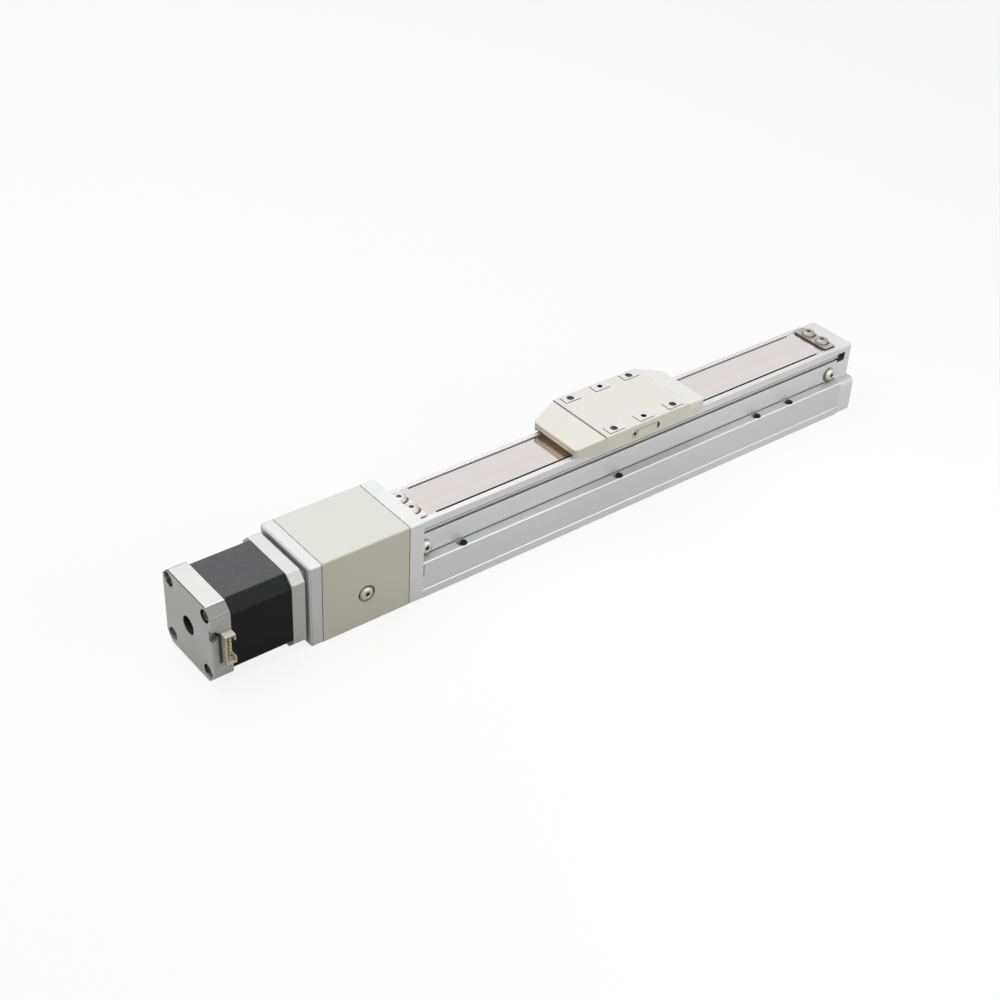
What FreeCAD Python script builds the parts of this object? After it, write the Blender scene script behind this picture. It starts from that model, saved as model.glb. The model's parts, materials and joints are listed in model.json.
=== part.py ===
import FreeCAD, Part
import math
import os

# Sizes in millimetres. X runs from the motor to the far end, Z is up,
# and the origin is the middle of the body's underside.

# Aluminium body, an inverted-T section that is open along its top
body_length = 290.0
base_width = 42.0
upper_width = 30.0
body_height = 40.0
ledge_height = 20.7
lip_height = 4.4
lip_step = 0.25
upper_wall = 2.8
floor_thickness = 5.0
axis_height = 23.2

# Sensor slot and scribed line on each side of the upper part
sensor_slot_height = 33.3
sensor_slot_mouth = 1.8
sensor_slot_inside = 3.2
sensor_slot_depth = 1.9
slot_pocket_depth = 4.0
scribed_line_height = 35.2
scribed_line_width = 0.5
scribed_line_depth = 0.35

# Counterbored mounting holes in the ledges, measured from the motor end of the body
foot_hole_places = (25.0, 125.0, 225.0, 250.0)
foot_hole_diameter = 3.4
foot_head_diameter = 5.6
foot_head_depth = 3.4

# End block, far-end cap and the tongues that reach into the body
block_length = 8.0
far_cap_length = 11.0
far_cap_shoulder = 3.0
far_cap_rounding = 1.2
housing_height = 45.5
tongue_length = 14.0
side_screw_place = 5.0
side_screw_rise = 4.5

# Coupling cover, bracket and motor adaptor plate
housing_length = 48.8
cover_wall = 2.6
cover_gap = 0.35
bracket_wall = 3.0
plate_thickness = 6.4
plate_step = 2.4
plate_step_inset = 3.2
plate_chamfer = 0.9

# Stepper motor, 42 mm square with a 31 mm screw square
motor_size = 42.0
motor_chamfer = 4.4
motor_screw_square = 31.0
cap_length = 9.9
stack_length = 31.3
flange_length = 6.8
stack_inset = 0.4
stack_chamfer = 6.0
pilot_diameter = 22.0
shaft_diameter = 5.0
shaft_reach = 24.0
rear_corner_rounding = 2.5
tie_pocket_radius = 3.4
tie_pocket_reach = 0.8
tie_pocket_depth = 2.4
wire_notch_width = 3.4
wire_notch_height = 6.0
wire_notch_depth = 2.4
wire_notch_rise = 6.9

# Cover belt and its clamp plates
belt_thickness = 0.3
belt_slit = 1.3
clamp_width = 7.9
clamp_thickness = 1.2
clamp_screw_pitch = 10.2
clamp_screw_place = 4.0

# Slide table
table_rest = -5.3
table_length = 88.5
table_width = 42.4
table_height = 50.8
table_gap = 1.0
table_end_width = 33.2
table_end_height = 45.8
end_cover_step = 0.6
hole_pitch = 20.0
hole_margin = 4.2
pad_length = 9.7
pad_width = 5.8
pad_rise = 0.4
table_thread_diameter = 3.3
table_dowel_diameter = 3.0
table_wall = 1.2
table_roof = 1.8
end_cover_wall = 1.5
end_cover_leg = 2.0
wiper_length = 3.0

# Carriage, guides and ball screw
carriage_length = 64.0
carriage_head_overhang = 1.2
rail_thickness = 3.5
rail_height = 10.8
guide_thickness = 1.6
running_gap = 0.3
screw_diameter = 7.8
journal_diameter = 6.0
nut_diameter = 14.0
nut_body_length = 34.0
nut_flange_length = 5.0
nut_flange_width = 16.4
nut_flange_height = 24.0
nut_screw_pitch_y = 10.8
nut_screw_pitch_z = 18.4

# Bearings, rubber stops and shaft coupling
fixed_bearing_diameter = 17.0
fixed_bearing_width = 6.0
support_bearing_diameter = 15.0
support_bearing_width = 5.0
bumper_diameter = 19.0
bumper_motor_length = 8.2
bumper_far_length = 13.8
coupling_offset = 27.0
hub_diameter = 20.0
hub_length = 14.0
jaw_length = 6.0
hub_screw_place = 4.5
hub_screw_rise = 6.9

# Inside of the motor
rotor_diameter = 21.6
rotor_gap = 0.5
motor_bearing_diameter = 16.0
motor_bearing_width = 5.0

# Derived places and half widths
half_base = base_width / 2
half_side = half_base - lip_step
half_upper = upper_width / 2
mouth_half = half_upper - upper_wall
cavity_half = half_upper - 1.0
shoulder_height = ledge_height - 1.5
foot_hole_y = (half_side + half_upper) / 2 - 0.125
belt_half = mouth_half - belt_slit
belt_bottom = body_height - belt_thickness - 0.2
belt_top = belt_bottom + belt_thickness
body_0 = -body_length / 2
body_1 = body_length / 2
block_0 = body_0 - block_length
far_1 = body_1 + far_cap_length
housing_0 = block_0 - housing_length
plate_0 = housing_0 - plate_thickness
step_0 = plate_0 - plate_step
flange_0 = step_0 - flange_length
stack_0 = flange_0 - stack_length
cap_0 = stack_0 - cap_length
half_motor = motor_size / 2
screw_square = motor_screw_square / 2
winding_radius = half_motor - stack_inset - 3.2
shaft_radius = shaft_diameter / 2
screw_radius = screw_diameter / 2
journal_radius = journal_diameter / 2
fixed_bearing_0 = block_0 + 1.5
fixed_bearing_1 = fixed_bearing_0 + 2 * fixed_bearing_width
bearing_top = axis_height + fixed_bearing_diameter / 2
support_bearing_0 = body_1 - support_bearing_width / 2
support_bearing_1 = body_1 + support_bearing_width / 2
coupling_middle = block_0 - coupling_offset
hub_radius = hub_diameter / 2
half_table = table_width / 2
table_bottom = body_height + table_gap
table_middle_half = hole_pitch + 8.1
table_end = table_length / 2
hole_y = half_table - hole_margin
table_room = table_height - table_roof - table_bottom
plate_bottom = table_bottom + table_room / 4
plate_top = table_bottom + table_room - 0.1
plate_depth = plate_top - plate_bottom
plate_screw_seat = plate_top - 0.44 * plate_depth
plate_half = half_table - table_wall - 0.1
window_middle = table_bottom + 0.54 * table_room
window_height = 0.6 * table_room
grease_radius = window_height * 5 / 12
table_end_room = table_end_height - table_bottom
tunnel_half = table_end_width / 2 - end_cover_leg
carriage_half = carriage_length / 2
rail_inside = cavity_half - rail_thickness
rail_middle = (floor_thickness + shoulder_height) / 2
stem_half = rail_inside - running_gap - guide_thickness
block_half = mouth_half - running_gap
web_inside = belt_half + running_gap
head_half = half_upper + carriage_head_overhang
nut_radius = nut_diameter / 2
nut_end = table_rest - carriage_half - nut_flange_length


def vector(x, y, z):
    return FreeCAD.Vector(x, y, z)


def outline(points, axis, place):
    """Closed wire across one axis through (a, b, corner radius) points."""
    order = {"x": (2, 0, 1), "y": (0, 2, 1), "z": (0, 1, 2)}[axis]

    def at(a, b):
        values = (a, b, place)
        return vector(values[order[0]], values[order[1]], values[order[2]])

    corners = []
    count = len(points)
    for index, (a, b, radius) in enumerate(points):
        here = at(a, b)
        back = at(*points[index - 1][:2]) - here
        ahead = at(*points[(index + 1) % count][:2]) - here
        if radius == 0:
            corners.append((here, here, here))
            continue
        half = back.getAngle(ahead) / 2
        back.normalize()
        ahead.normalize()
        reach = radius / math.tan(half)
        bisector = back + ahead
        bisector.normalize()
        middle = here + bisector * (radius / math.sin(half) - radius)
        corners.append((here + back * reach, middle, here + ahead * reach))
    edges = []
    for index, (first, middle, last) in enumerate(corners):
        if first != last:
            edges.append(Part.Arc(first, middle, last).toShape())
        following = corners[(index + 1) % count][0]
        if last.distanceToPoint(following) > 1e-6:
            edges.append(Part.LineSegment(last, following).toShape())
    return Part.Wire(edges)


def prism(points, axis, start, end):
    """Solid of one outline between two places on its axis."""
    way = {"x": vector(1, 0, 0), "y": vector(0, 1, 0), "z": vector(0, 0, 1)}[axis]
    return Part.Face(outline(points, axis, start)).extrude(way * (end - start))


def mirrored(half):
    """Outline that is alike on both sides of the middle plane, from its +Y half."""
    return half + [(-y, z, radius) for y, z, radius in reversed(half)]


def rectangle(a0, a1, b0, b1, radius=0.0):
    return [(a0, b0, radius), (a1, b0, radius), (a1, b1, radius), (a0, b1, radius)]


def box(x0, x1, y0, y1, z0, z1):
    return Part.makeBox(x1 - x0, y1 - y0, z1 - z0, vector(x0, y0, z0))


def rod_x(radius, x0, x1, y=0.0, z=axis_height):
    return Part.makeCylinder(radius, x1 - x0, vector(x0, y, z), vector(1, 0, 0))


def rod_y(radius, y0, y1, x, z):
    return Part.makeCylinder(radius, y1 - y0, vector(x, y0, z), vector(0, 1, 0))


def rod_z(radius, z0, z1, x, y):
    return Part.makeCylinder(radius, z1 - z0, vector(x, y, z0), vector(0, 0, 1))


def turned(points, angle=360.0):
    """Solid turned about the screw axis from (x, radius) points."""
    ring = [vector(x, 0, axis_height + radius) for x, radius in points]
    face = Part.Face(Part.makePolygon(ring + ring[:1]))
    return face.revolve(vector(0, 0, axis_height), vector(1, 0, 0), angle)


def tube_x(inner, outer, x0, x1):
    return turned([(x0, inner), (x1, inner), (x1, outer), (x0, outer)])


def about_axis(shape, angle):
    return shape.rotated(vector(0, 0, axis_height), vector(1, 0, 0), angle)


def across(shape):
    """The same shape on the other side of the middle plane."""
    return shape.mirror(vector(0, 0, 0), vector(0, 1, 0))


def motor_corners():
    low = axis_height - screw_square
    high = axis_height + screw_square
    return [(side * screw_square, z) for side in (-1, 1) for z in (low, high)]


def foot_places():
    return [(body_0 + place, side * foot_hole_y) for place in foot_hole_places for side in (-1, 1)]


def end_screw_places():
    y = foot_hole_y - 0.2
    return [(side * y, z) for side in (-1, 1) for z in (6.6, 14.4)]


def placed(shape, seat, way):
    shape.Placement = FreeCAD.Placement(seat, FreeCAD.Rotation(vector(0, 0, 1), way))
    return shape


def turned_head(points):
    ring = [vector(radius, 0, z) for radius, z in points]
    face = Part.Face(Part.makePolygon(ring + ring[:1]))
    return face.revolve(vector(0, 0, 0), vector(0, 0, 1), 360)


def hex_socket(radius, z0, z1):
    turns = [k * math.pi / 3 for k in range(7)]
    ring = [vector(radius * math.cos(turn), radius * math.sin(turn), z0) for turn in turns]
    return Part.Face(Part.makePolygon(ring)).extrude(vector(0, 0, z1 - z0))


def button_screw(seat, way, length, radius=1.95):
    """Button-head screw whose head sits on seat and looks along way."""
    head = 1.9 * radius
    tall = 1.1 * radius
    dome = [(head, 0.0), (head, 0.18 * tall), (0.93 * head, 0.5 * tall), (0.78 * head, 0.8 * tall)]
    profile = [(0.0, -length), (0.9 * radius, -length), (radius, 0.1 * radius - length), (radius, 0.0)]
    body = turned_head(profile + dome + [(0.55 * head, tall), (0.0, tall)])
    return placed(body.cut(hex_socket(0.75 * radius, 0.35 * tall, 2 * tall)), seat, way)


def cap_screw(seat, way, length, radius=1.45, tall=2.75):
    """Socket-head cap screw whose head sits on seat and looks along way."""
    head = 1.85 * radius
    crown = [(head, 0.0), (head, tall - 0.2), (head - 0.2, tall), (0.0, tall)]
    body = turned_head([(0.0, -length), (radius, -length), (radius, 0.0)] + crown)
    return placed(body.cut(hex_socket(0.95 * radius, 0.5 * tall, 2 * tall)), seat, way)


def pan_screw(seat, way, length, radius=1.45):
    """Cross-recessed pan-head screw whose head sits on seat and looks along way."""
    head = 1.85 * radius
    crown = [(head, 0.0), (head, 0.8), (0.8 * head, 1.4), (0.45 * head, 1.7), (0.0, 1.7)]
    body = turned_head([(0.0, -length), (radius, -length), (radius, 0.0)] + crown)
    cross = [box(-1.5, 1.5, -0.3, 0.3, 0.7, 3.0), box(-0.3, 0.3, -1.5, 1.5, 0.7, 3.0)]
    return placed(body.cut(cross), seat, way)


def base_extrusion():
    slot_low = sensor_slot_height - sensor_slot_mouth / 2
    slot_high = sensor_slot_height + sensor_slot_mouth / 2
    inside_low = sensor_slot_height - sensor_slot_inside / 2
    inside_high = sensor_slot_height + sensor_slot_inside / 2
    slot_lip = half_upper - 0.7
    slot_back = half_upper - sensor_slot_depth
    half = [
        (half_base, 0, 0.4),
        (half_base, lip_height, 0),
        (half_side, lip_height + 2 * lip_step, 0),
        (half_side, ledge_height, 0.5),
        (half_upper + 0.6, ledge_height, 0),
        (half_upper + 0.6, ledge_height - 0.9, 0),
        (half_upper, ledge_height - 0.9, 0),
        (half_upper, slot_low, 0),
        (slot_lip, slot_low, 0),
        (slot_lip, inside_low, 0),
        (slot_back, inside_low, 0.3),
        (slot_back, inside_high, 0.3),
        (slot_lip, inside_high, 0),
        (slot_lip, slot_high, 0),
        (half_upper, slot_high, 0),
        (half_upper, scribed_line_height - scribed_line_width / 2, 0),
        (half_upper - scribed_line_depth, scribed_line_height, 0),
        (half_upper, scribed_line_height + scribed_line_width / 2, 0),
        (half_upper, body_height, 0.5),
        (mouth_half, body_height, 0.2),
        (mouth_half, shoulder_height, 0),
        (cavity_half, shoulder_height, 0.5),
        (cavity_half, floor_thickness, 0.8),
    ]
    body = prism(mirrored(half), "x", body_0, body_1)
    holes = []
    for x, y in foot_places():
        holes.append(rod_z(foot_hole_diameter / 2, -1.0, ledge_height, x, y))
        holes.append(rod_z(foot_head_diameter / 2, ledge_height - foot_head_depth, ledge_height, x, y))
    for x in (body_0 + side_screw_place, body_1 - side_screw_place):
        holes.append(rod_y(2.05, -half_base, half_base, x, ledge_height + side_screw_rise))
    for y, z in end_screw_places():
        holes.append(rod_x(1.5, body_0 - 1.0, body_0 + 12.0, y, z))
        holes.append(rod_x(1.5, body_1 - 12.0, body_1 + 1.0, y, z))
    return body.cut(holes)


def tongue_section():
    return mirrored([
        (cavity_half - 0.1, floor_thickness + 0.1, 0.9),
        (cavity_half - 0.1, shoulder_height - 0.1, 0.5),
        (mouth_half - 0.1, shoulder_height - 0.1, 0),
        (mouth_half - 0.1, belt_bottom, 0),
    ])


def tongue_holes(way, end):
    """Threads for the clamp and side screws in the tongue that starts at end and reaches along way."""
    clamp_x = end + way * clamp_screw_place
    side_x = end + way * side_screw_place
    side_z = ledge_height + side_screw_rise
    holes = []
    for y in (-clamp_screw_pitch / 2, clamp_screw_pitch / 2):
        holes.append(rod_z(2.0, bearing_top + 2.3, belt_bottom + 1.0, clamp_x, y))
    thread = rod_y(2.0, fixed_bearing_diameter / 2 + 0.5, half_upper, side_x, side_z)
    holes += [thread, across(thread)]
    return holes


def motor_end_block():
    block = prism(mirrored([(half_base, 0, 0.8), (half_base, housing_height, 1.0)]), "x", block_0, body_0)
    tongue = prism(tongue_section(), "x", body_0, body_0 + tongue_length)
    shape = block.fuse(tongue).removeSplitter()
    holes = tongue_holes(1, body_0)
    holes.append(rod_x(fixed_bearing_diameter / 2, block_0 - 1.0, fixed_bearing_1))
    holes.append(rod_x(6.0, fixed_bearing_1 - 1.0, body_0 + tongue_length + 1.0))
    for y, z in end_screw_places():
        holes.append(rod_x(1.6, block_0 - 1.0, body_0 + 1.0, y, z))
        holes.append(rod_x(3.0, block_0 - 1.0, block_0 + 3.4, y, z))
    for angle in (45, 135, 225, 315):
        holes.append(about_axis(rod_x(1.25, block_0 - 1.0, block_0 + 5.0, 0, axis_height + 10.8), angle))
    return shape.cut(holes)


def far_end_cap():
    half = [
        (half_side, 0, far_cap_rounding),
        (half_side, ledge_height, far_cap_shoulder),
        (half_upper, ledge_height, far_cap_rounding),
        (half_upper, body_height, far_cap_rounding + 0.4),
    ]
    cap = prism(mirrored(half), "x", body_1, far_1)
    rim = [edge for edge in cap.Edges if min(v.X for v in edge.Vertexes) > far_1 - 0.01]
    cap = cap.makeFillet(far_cap_rounding, rim)
    tongue = prism(tongue_section(), "x", body_1 - tongue_length, body_1)
    shape = cap.fuse(tongue).removeSplitter()
    holes = tongue_holes(-1, body_1)
    holes.append(rod_x(support_bearing_diameter / 2, body_1 - tongue_length - 1.0, support_bearing_1))
    for y, z in end_screw_places():
        holes.append(rod_x(1.6, body_1 - 1.0, far_1 + 1.0, y, z))
        holes.append(rod_x(3.0, far_1 - 3.4, far_1 + 1.0, y, z))
    pocket = rectangle(body_1 - 1.0, body_1 + 6.0, sensor_slot_height - 2.4, sensor_slot_height + 2.9, 0.9)
    pocket_back = half_upper - slot_pocket_depth
    cap_space = box(body_1, far_1, 0, base_width, 0, housing_height)
    holes.append(prism(pocket, "y", pocket_back, half_upper + 1.0).common(cap_space))
    holes.append(across(holes[-1]))
    return shape.cut(holes)


def guide_rail(side):
    low = rail_middle - rail_height / 2
    high = rail_middle + rail_height / 2
    section = [
        (cavity_half, low, 0),
        (cavity_half, high, 0),
        (rail_inside, high, 0.3),
        (rail_inside, rail_middle + 2.2, 0),
        (rail_inside + 1.5, rail_middle + 0.7, 0),
        (rail_inside + 1.5, rail_middle - 0.7, 0),
        (rail_inside, rail_middle - 2.2, 0),
        (rail_inside, low, 0.3),
    ]
    inset = tongue_length + 1.0
    rail = prism(section, "x", body_0 + inset, body_1 - inset)
    return rail if side > 0 else across(rail)


def clamp_xs():
    return (body_0 + clamp_screw_place, body_1 - clamp_screw_place)


def steel_belt():
    belt = box(body_0 + 0.4, body_1 - 0.4, -belt_half, belt_half, belt_bottom, belt_top)
    spots = [(x, side * clamp_screw_pitch / 2) for x in clamp_xs() for side in (-1, 1)]
    return belt.cut([rod_z(2.1, belt_bottom - 1.0, belt_top + 1.0, x, y) for x, y in spots])


def belt_clamp(x0, x1, screw_x):
    half = mouth_half - 0.1
    plate = prism(rectangle(x0, x1, -half, half, 1.2), "z", belt_top, belt_top + clamp_thickness)
    spots = [side * clamp_screw_pitch / 2 for side in (-1, 1)]
    return plate.cut([rod_z(2.1, belt_top - 1.0, belt_top + 3.0, screw_x, y) for y in spots])


def belt_clamp_motor_end():
    return belt_clamp(body_0 + 0.4, body_0 + 0.4 + clamp_width, clamp_xs()[0])


def belt_clamp_far_end():
    return belt_clamp(body_1 - 0.4 - clamp_width, body_1 - 0.4, clamp_xs()[1])


def belt_clamp_screws():
    seat = belt_top + clamp_thickness
    length = seat - bearing_top - 2.9
    spots = [(x, side * clamp_screw_pitch / 2) for x in clamp_xs() for side in (-1, 1)]
    return [button_screw(vector(x, y, seat), vector(0, 0, 1), length) for x, y in spots]


def body_side_screws():
    xs = (body_0 + side_screw_place, body_1 - side_screw_place)
    z = ledge_height + side_screw_rise
    length = half_upper - fixed_bearing_diameter / 2 - 0.9
    spots = [(x, side) for x in xs for side in (-1, 1)]
    return [button_screw(vector(x, side * half_upper, z), vector(0, side, 0), length) for x, side in spots]


def end_block_screws():
    way = vector(-1, 0, 0)
    return [cap_screw(vector(block_0 + 3.4, y, z), way, 14.0) for y, z in end_screw_places()]


def far_cap_screws():
    way = vector(1, 0, 0)
    return [cap_screw(vector(far_1 - 3.4, y, z), way, 14.0) for y, z in end_screw_places()]


def bearing_outer(outer, lip, x0, x1):
    """Outer ring with a shield on each face."""
    inner = outer - 1.4
    return turned([
        (x0, outer),
        (x0, lip),
        (x0 + 0.5, lip),
        (x0 + 0.5, inner),
        (x1 - 0.5, inner),
        (x1 - 0.5, lip),
        (x1, lip),
        (x1, outer),
    ])


def fixed_bearing_outer_rings():
    middle = (fixed_bearing_0 + fixed_bearing_1) / 2
    spans = ((fixed_bearing_0, middle), (middle, fixed_bearing_1))
    return [bearing_outer(fixed_bearing_diameter / 2, 5.0, x0, x1) for x0, x1 in spans]


def fixed_bearing_inner_rings():
    middle = (fixed_bearing_0 + fixed_bearing_1) / 2
    spans = ((fixed_bearing_0, middle), (middle, fixed_bearing_1))
    return [tube_x(journal_radius, 4.6, x0, x1) for x0, x1 in spans]


def support_bearing_outer_ring():
    return bearing_outer(support_bearing_diameter / 2, 5.0, support_bearing_0, support_bearing_1)


def support_bearing_inner_ring():
    return tube_x(journal_radius, 4.6, support_bearing_0, support_bearing_1)


def bearing_retainer():
    disc = turned([
        (block_0 - 2.6, 5.2),
        (fixed_bearing_0, 5.2),
        (fixed_bearing_0, fixed_bearing_diameter / 2 - 0.1),
        (block_0, fixed_bearing_diameter / 2 - 0.1),
        (block_0, 13.2),
        (block_0 - 2.2, 13.2),
        (block_0 - 2.6, 12.8),
    ])
    screw = rod_x(1.35, block_0 - 4.0, block_0 + 1.0, 0, axis_height + 10.8)
    return disc.cut([about_axis(screw, angle) for angle in (45, 135, 225, 315)])


def retainer_screws():
    seat = vector(block_0 - 2.6, 0, axis_height + 10.8)
    screws = [cap_screw(seat, vector(-1, 0, 0), 6.5, 1.2, 2.3) for _ in range(4)]
    return [about_axis(screw, 45 + 90 * k) for k, screw in enumerate(screws)]


def bearing_lock_nut():
    collar = tube_x(journal_radius, 4.4, block_0 - 3.2, fixed_bearing_0)
    body = turned([
        (block_0 - 8.2, journal_radius),
        (block_0 - 3.2, journal_radius),
        (block_0 - 3.2, 6.0),
        (block_0 - 7.7, 6.0),
        (block_0 - 8.2, 5.5),
    ])
    notch = box(block_0 - 9.0, block_0 - 3.0, -1.2, 1.2, axis_height + 5.0, axis_height + 7.0)
    return collar.fuse(body.cut([about_axis(notch, 90 * k) for k in range(4)])).removeSplitter()


def ball_screw():
    start = coupling_middle + jaw_length / 2 + 1.0
    return turned([
        (start, 0.0),
        (start, journal_radius - 0.4),
        (start + 0.4, journal_radius),
        (fixed_bearing_1, journal_radius),
        (fixed_bearing_1, screw_radius),
        (support_bearing_0 - 0.6, screw_radius),
        (support_bearing_0, screw_radius - 0.4),
        (support_bearing_0, journal_radius),
        (support_bearing_1 - 0.6, journal_radius),
        (support_bearing_1 - 0.2, journal_radius - 0.4),
        (support_bearing_1 - 0.2, 0.0),
    ])


def coupling_jaws(x0, x1, first):
    low = 0.53 * hub_radius
    jaw = turned([(x0, low), (x1, low), (x1, hub_radius), (x0, hub_radius)], 46.0)
    return [about_axis(jaw, first + 120 * k - 23) for k in range(3)]


def coupling_hub(x0, x1, bore, jaws, clamp_x):
    """Split clamping hub with three jaws."""
    body = tube_x(bore, hub_radius, x0, x1).fuse(jaws).removeSplitter()
    high = axis_height + hub_screw_rise
    place = hub_screw_place
    cuts = [
        box(clamp_x - place, clamp_x + place, -0.6, 0.6, axis_height, axis_height + hub_radius + 2.0),
        rod_y(1.3, 1.0 - hub_radius, hub_radius, clamp_x, high),
        rod_y(2.4, 0.34 * hub_radius, hub_radius + 1.0, clamp_x, high),
    ]
    return body.cut(cuts)


def coupling_hub_motor_side():
    x1 = coupling_middle - jaw_length / 2
    jaws = coupling_jaws(x1, x1 + jaw_length, 0)
    return coupling_hub(x1 - hub_length, x1, shaft_radius, jaws, x1 - hub_length + hub_screw_place)


def coupling_hub_screw_side():
    x0 = coupling_middle + jaw_length / 2
    jaws = coupling_jaws(x0 - jaw_length, x0, 60)
    return coupling_hub(x0, x0 + hub_length, journal_radius, jaws, x0 + hub_length - hub_screw_place)


def coupling_clamp_screws():
    reach = jaw_length / 2 + hub_length - hub_screw_place
    seat = 0.34 * hub_radius
    z = axis_height + hub_screw_rise
    length = 0.94 * hub_radius
    xs = (coupling_middle - reach, coupling_middle + reach)
    return [cap_screw(vector(x, seat, z), vector(0, 1, 0), length, 1.2, 2.3) for x in xs]


def coupling_spider():
    x0 = coupling_middle - jaw_length / 2 + 0.2
    x1 = coupling_middle + jaw_length / 2 - 0.2
    core = tube_x(journal_radius + 0.4, 0.52 * hub_radius, x0, x1)
    low = 0.46 * hub_radius
    high = 0.96 * hub_radius
    arm = turned([(x0, low), (x1, low), (x1, high), (x0, high)], 13.0)
    return core.fuse([about_axis(arm, 30 + 60 * k - 6.5) for k in range(6)]).removeSplitter()


def coupling_bracket():
    outer = half_base - cover_wall - 0.1
    inner = outer - bracket_wall
    top = housing_height - cover_wall - 0.1
    section = [
        (-outer, 0, 0.5),
        (outer, 0, 0.5),
        (outer, top, 0.5),
        (inner, top, 0.5),
        (inner, 4.5, 2.0),
        (-inner, 4.5, 2.0),
        (-inner, top, 0.5),
        (-outer, top, 0.5),
    ]
    holes = [rod_y(2.0, -half_base, half_base, (housing_0 + block_0) / 2, cover_screw_height())]
    return prism(section, "x", housing_0, block_0).cut(holes)


def cover_screw_height():
    return axis_height - 5.6


def coupling_cover():
    inner = half_base - cover_wall
    roof = housing_height - cover_wall
    section = [
        (half_base, 0, 0.6),
        (half_base, housing_height, 1.0),
        (-half_base, housing_height, 1.0),
        (-half_base, 0, 0.6),
        (-inner, 0, 0),
        (-inner, roof, 0.4),
        (inner, roof, 0.4),
        (inner, 0, 0),
    ]
    x = (housing_0 + block_0) / 2
    z = cover_screw_height()
    holes = [
        rod_y(2.1, -half_base - 1, half_base + 1, x, z),
        rod_y(4.6, half_base - 1.3, half_base + 1, x, z),
        rod_y(4.6, -half_base - 1, 1.3 - half_base, x, z),
    ]
    return prism(section, "x", housing_0 + cover_gap, block_0 - cover_gap).cut(holes)


def coupling_cover_screws():
    x = (housing_0 + block_0) / 2
    z = cover_screw_height()
    seat = half_base - 1.3
    return [button_screw(vector(x, side * seat, z), vector(0, side, 0), 4.2) for side in (-1, 1)]


def motor_adaptor_plate():
    rounding = plate_chamfer + 0.3
    section = mirrored([(half_base, 0, rounding), (half_base, housing_height, rounding)])
    plate = prism(section, "x", plate_0, housing_0)
    rim = [edge for edge in plate.Edges if edge.BoundBox.XMax < plate_0 + 0.01]
    plate = plate.makeChamfer(plate_chamfer, rim)
    step_half = half_motor - plate_step_inset
    low = axis_height - step_half
    high = axis_height + step_half
    step = prism(mirrored([(step_half, low, 2.0), (step_half, high, 2.0)]), "x", step_0, plate_0)
    shape = plate.fuse(step).removeSplitter()
    holes = [rod_x(pilot_diameter / 2 + 0.05, step_0 - 1.0, housing_0 + 1.0)]
    for y, z in motor_corners():
        holes.append(rod_x(1.6, step_0 - 1.0, housing_0 + 1.0, y, z))
        holes.append(rod_x(2.9, housing_0 - 3.4, housing_0 + 1.0, y, z))
    return shape.cut(holes)


def motor_mount_screws():
    way = vector(1, 0, 0)
    length = plate_thickness + plate_step - 3.4 + 4.0
    return [cap_screw(vector(housing_0 - 3.4, y, z), way, length) for y, z in motor_corners()]


def motor_section(half, chamfer, rounding):
    low = axis_height - half
    high = axis_height + half
    return mirrored([
        (half - chamfer, low, rounding),
        (half, low + chamfer, rounding),
        (half, high - chamfer, rounding),
        (half - chamfer, high, rounding),
    ])


def motor_rear_cap():
    section = motor_section(half_motor, motor_chamfer, rear_corner_rounding)
    cap = prism(section, "x", cap_0, stack_0)
    notch_low = axis_height + wire_notch_rise - wire_notch_height / 2
    notch_high = notch_low + wire_notch_height
    notch_round = 0.45 * wire_notch_height
    notch_0 = cap_0 - 2 * notch_round
    wire_notch = rectangle(notch_0, cap_0 + wire_notch_width, notch_low, notch_high, notch_round)
    holes = [
        rod_x(4.75, cap_0 - 1.0, cap_0 + 6.0),
        rod_x(motor_bearing_diameter / 2, cap_0 + 3.0, stack_0),
        rod_x(winding_radius + 0.2, stack_0 - 2.6, stack_0),
        prism(wire_notch, "y", -half_motor - 1.0, wire_notch_depth - half_motor),
    ]
    for y, z in motor_corners():
        holes.append(rod_x(1.6, cap_0 - 1.0, stack_0 + 1.0, y, z))
        pocket = rod_x(tie_pocket_radius, cap_0 - 1.0, cap_0 + tie_pocket_depth, y, z)
        outward = vector(0, y, z - axis_height).normalize() * tie_pocket_reach
        holes += [pocket, pocket.translated(outward)]
    low, high = connector_span()
    x0 = connector_reach()[0] - 1.1
    holes.append(box(x0, stack_0, -half_motor - 1.0, connector_back(), low - 0.8, high + 0.2))
    return cap.cut(holes)


def connector_span():
    return axis_height - 8.3, axis_height + 7.8


def connector_reach():
    return cap_0 + 4.4, stack_0 - 0.2


def connector_back():
    return -half_motor + 3.6


def connector_shell():
    low, high = connector_span()
    front = -half_motor - 4.1
    x0, x1 = connector_reach()
    shell = box(x0, x1, front, connector_back(), low, high)
    cuts = [
        box(x0 + 0.7, x1 - 0.7, front - 1.0, front + 5.6, low + 0.8, high - 0.8),
        box(x1 - 1.0, x1 + 1.0, front - 1.0, front + 4.3, low + 3.4, high - 3.4),
        box(x0 - 1.0, x0 + 1.0, front - 1.0, front + 1.2, low + 5.8, low + 6.8),
        box(x0 - 1.0, x0 + 1.0, front - 1.0, front + 1.2, high - 6.8, high - 5.8),
    ]
    return shell.cut(cuts)


def connector_pins():
    low, high = connector_span()
    x = sum(connector_reach()) / 2
    first = (low + high) / 2 - 5.0
    y0 = -half_motor - 3.1
    y1 = -half_motor + 1.5
    return [box(x - 0.3, x + 0.3, y0, y1, first + 2 * k - 0.3, first + 2 * k + 0.3) for k in range(6)]


def connector_board():
    low, high = connector_span()
    x1 = connector_reach()[0]
    return box(x1 - 1.0, x1, -half_motor - 0.5, connector_back(), low - 0.6, high - 1.2)


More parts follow.
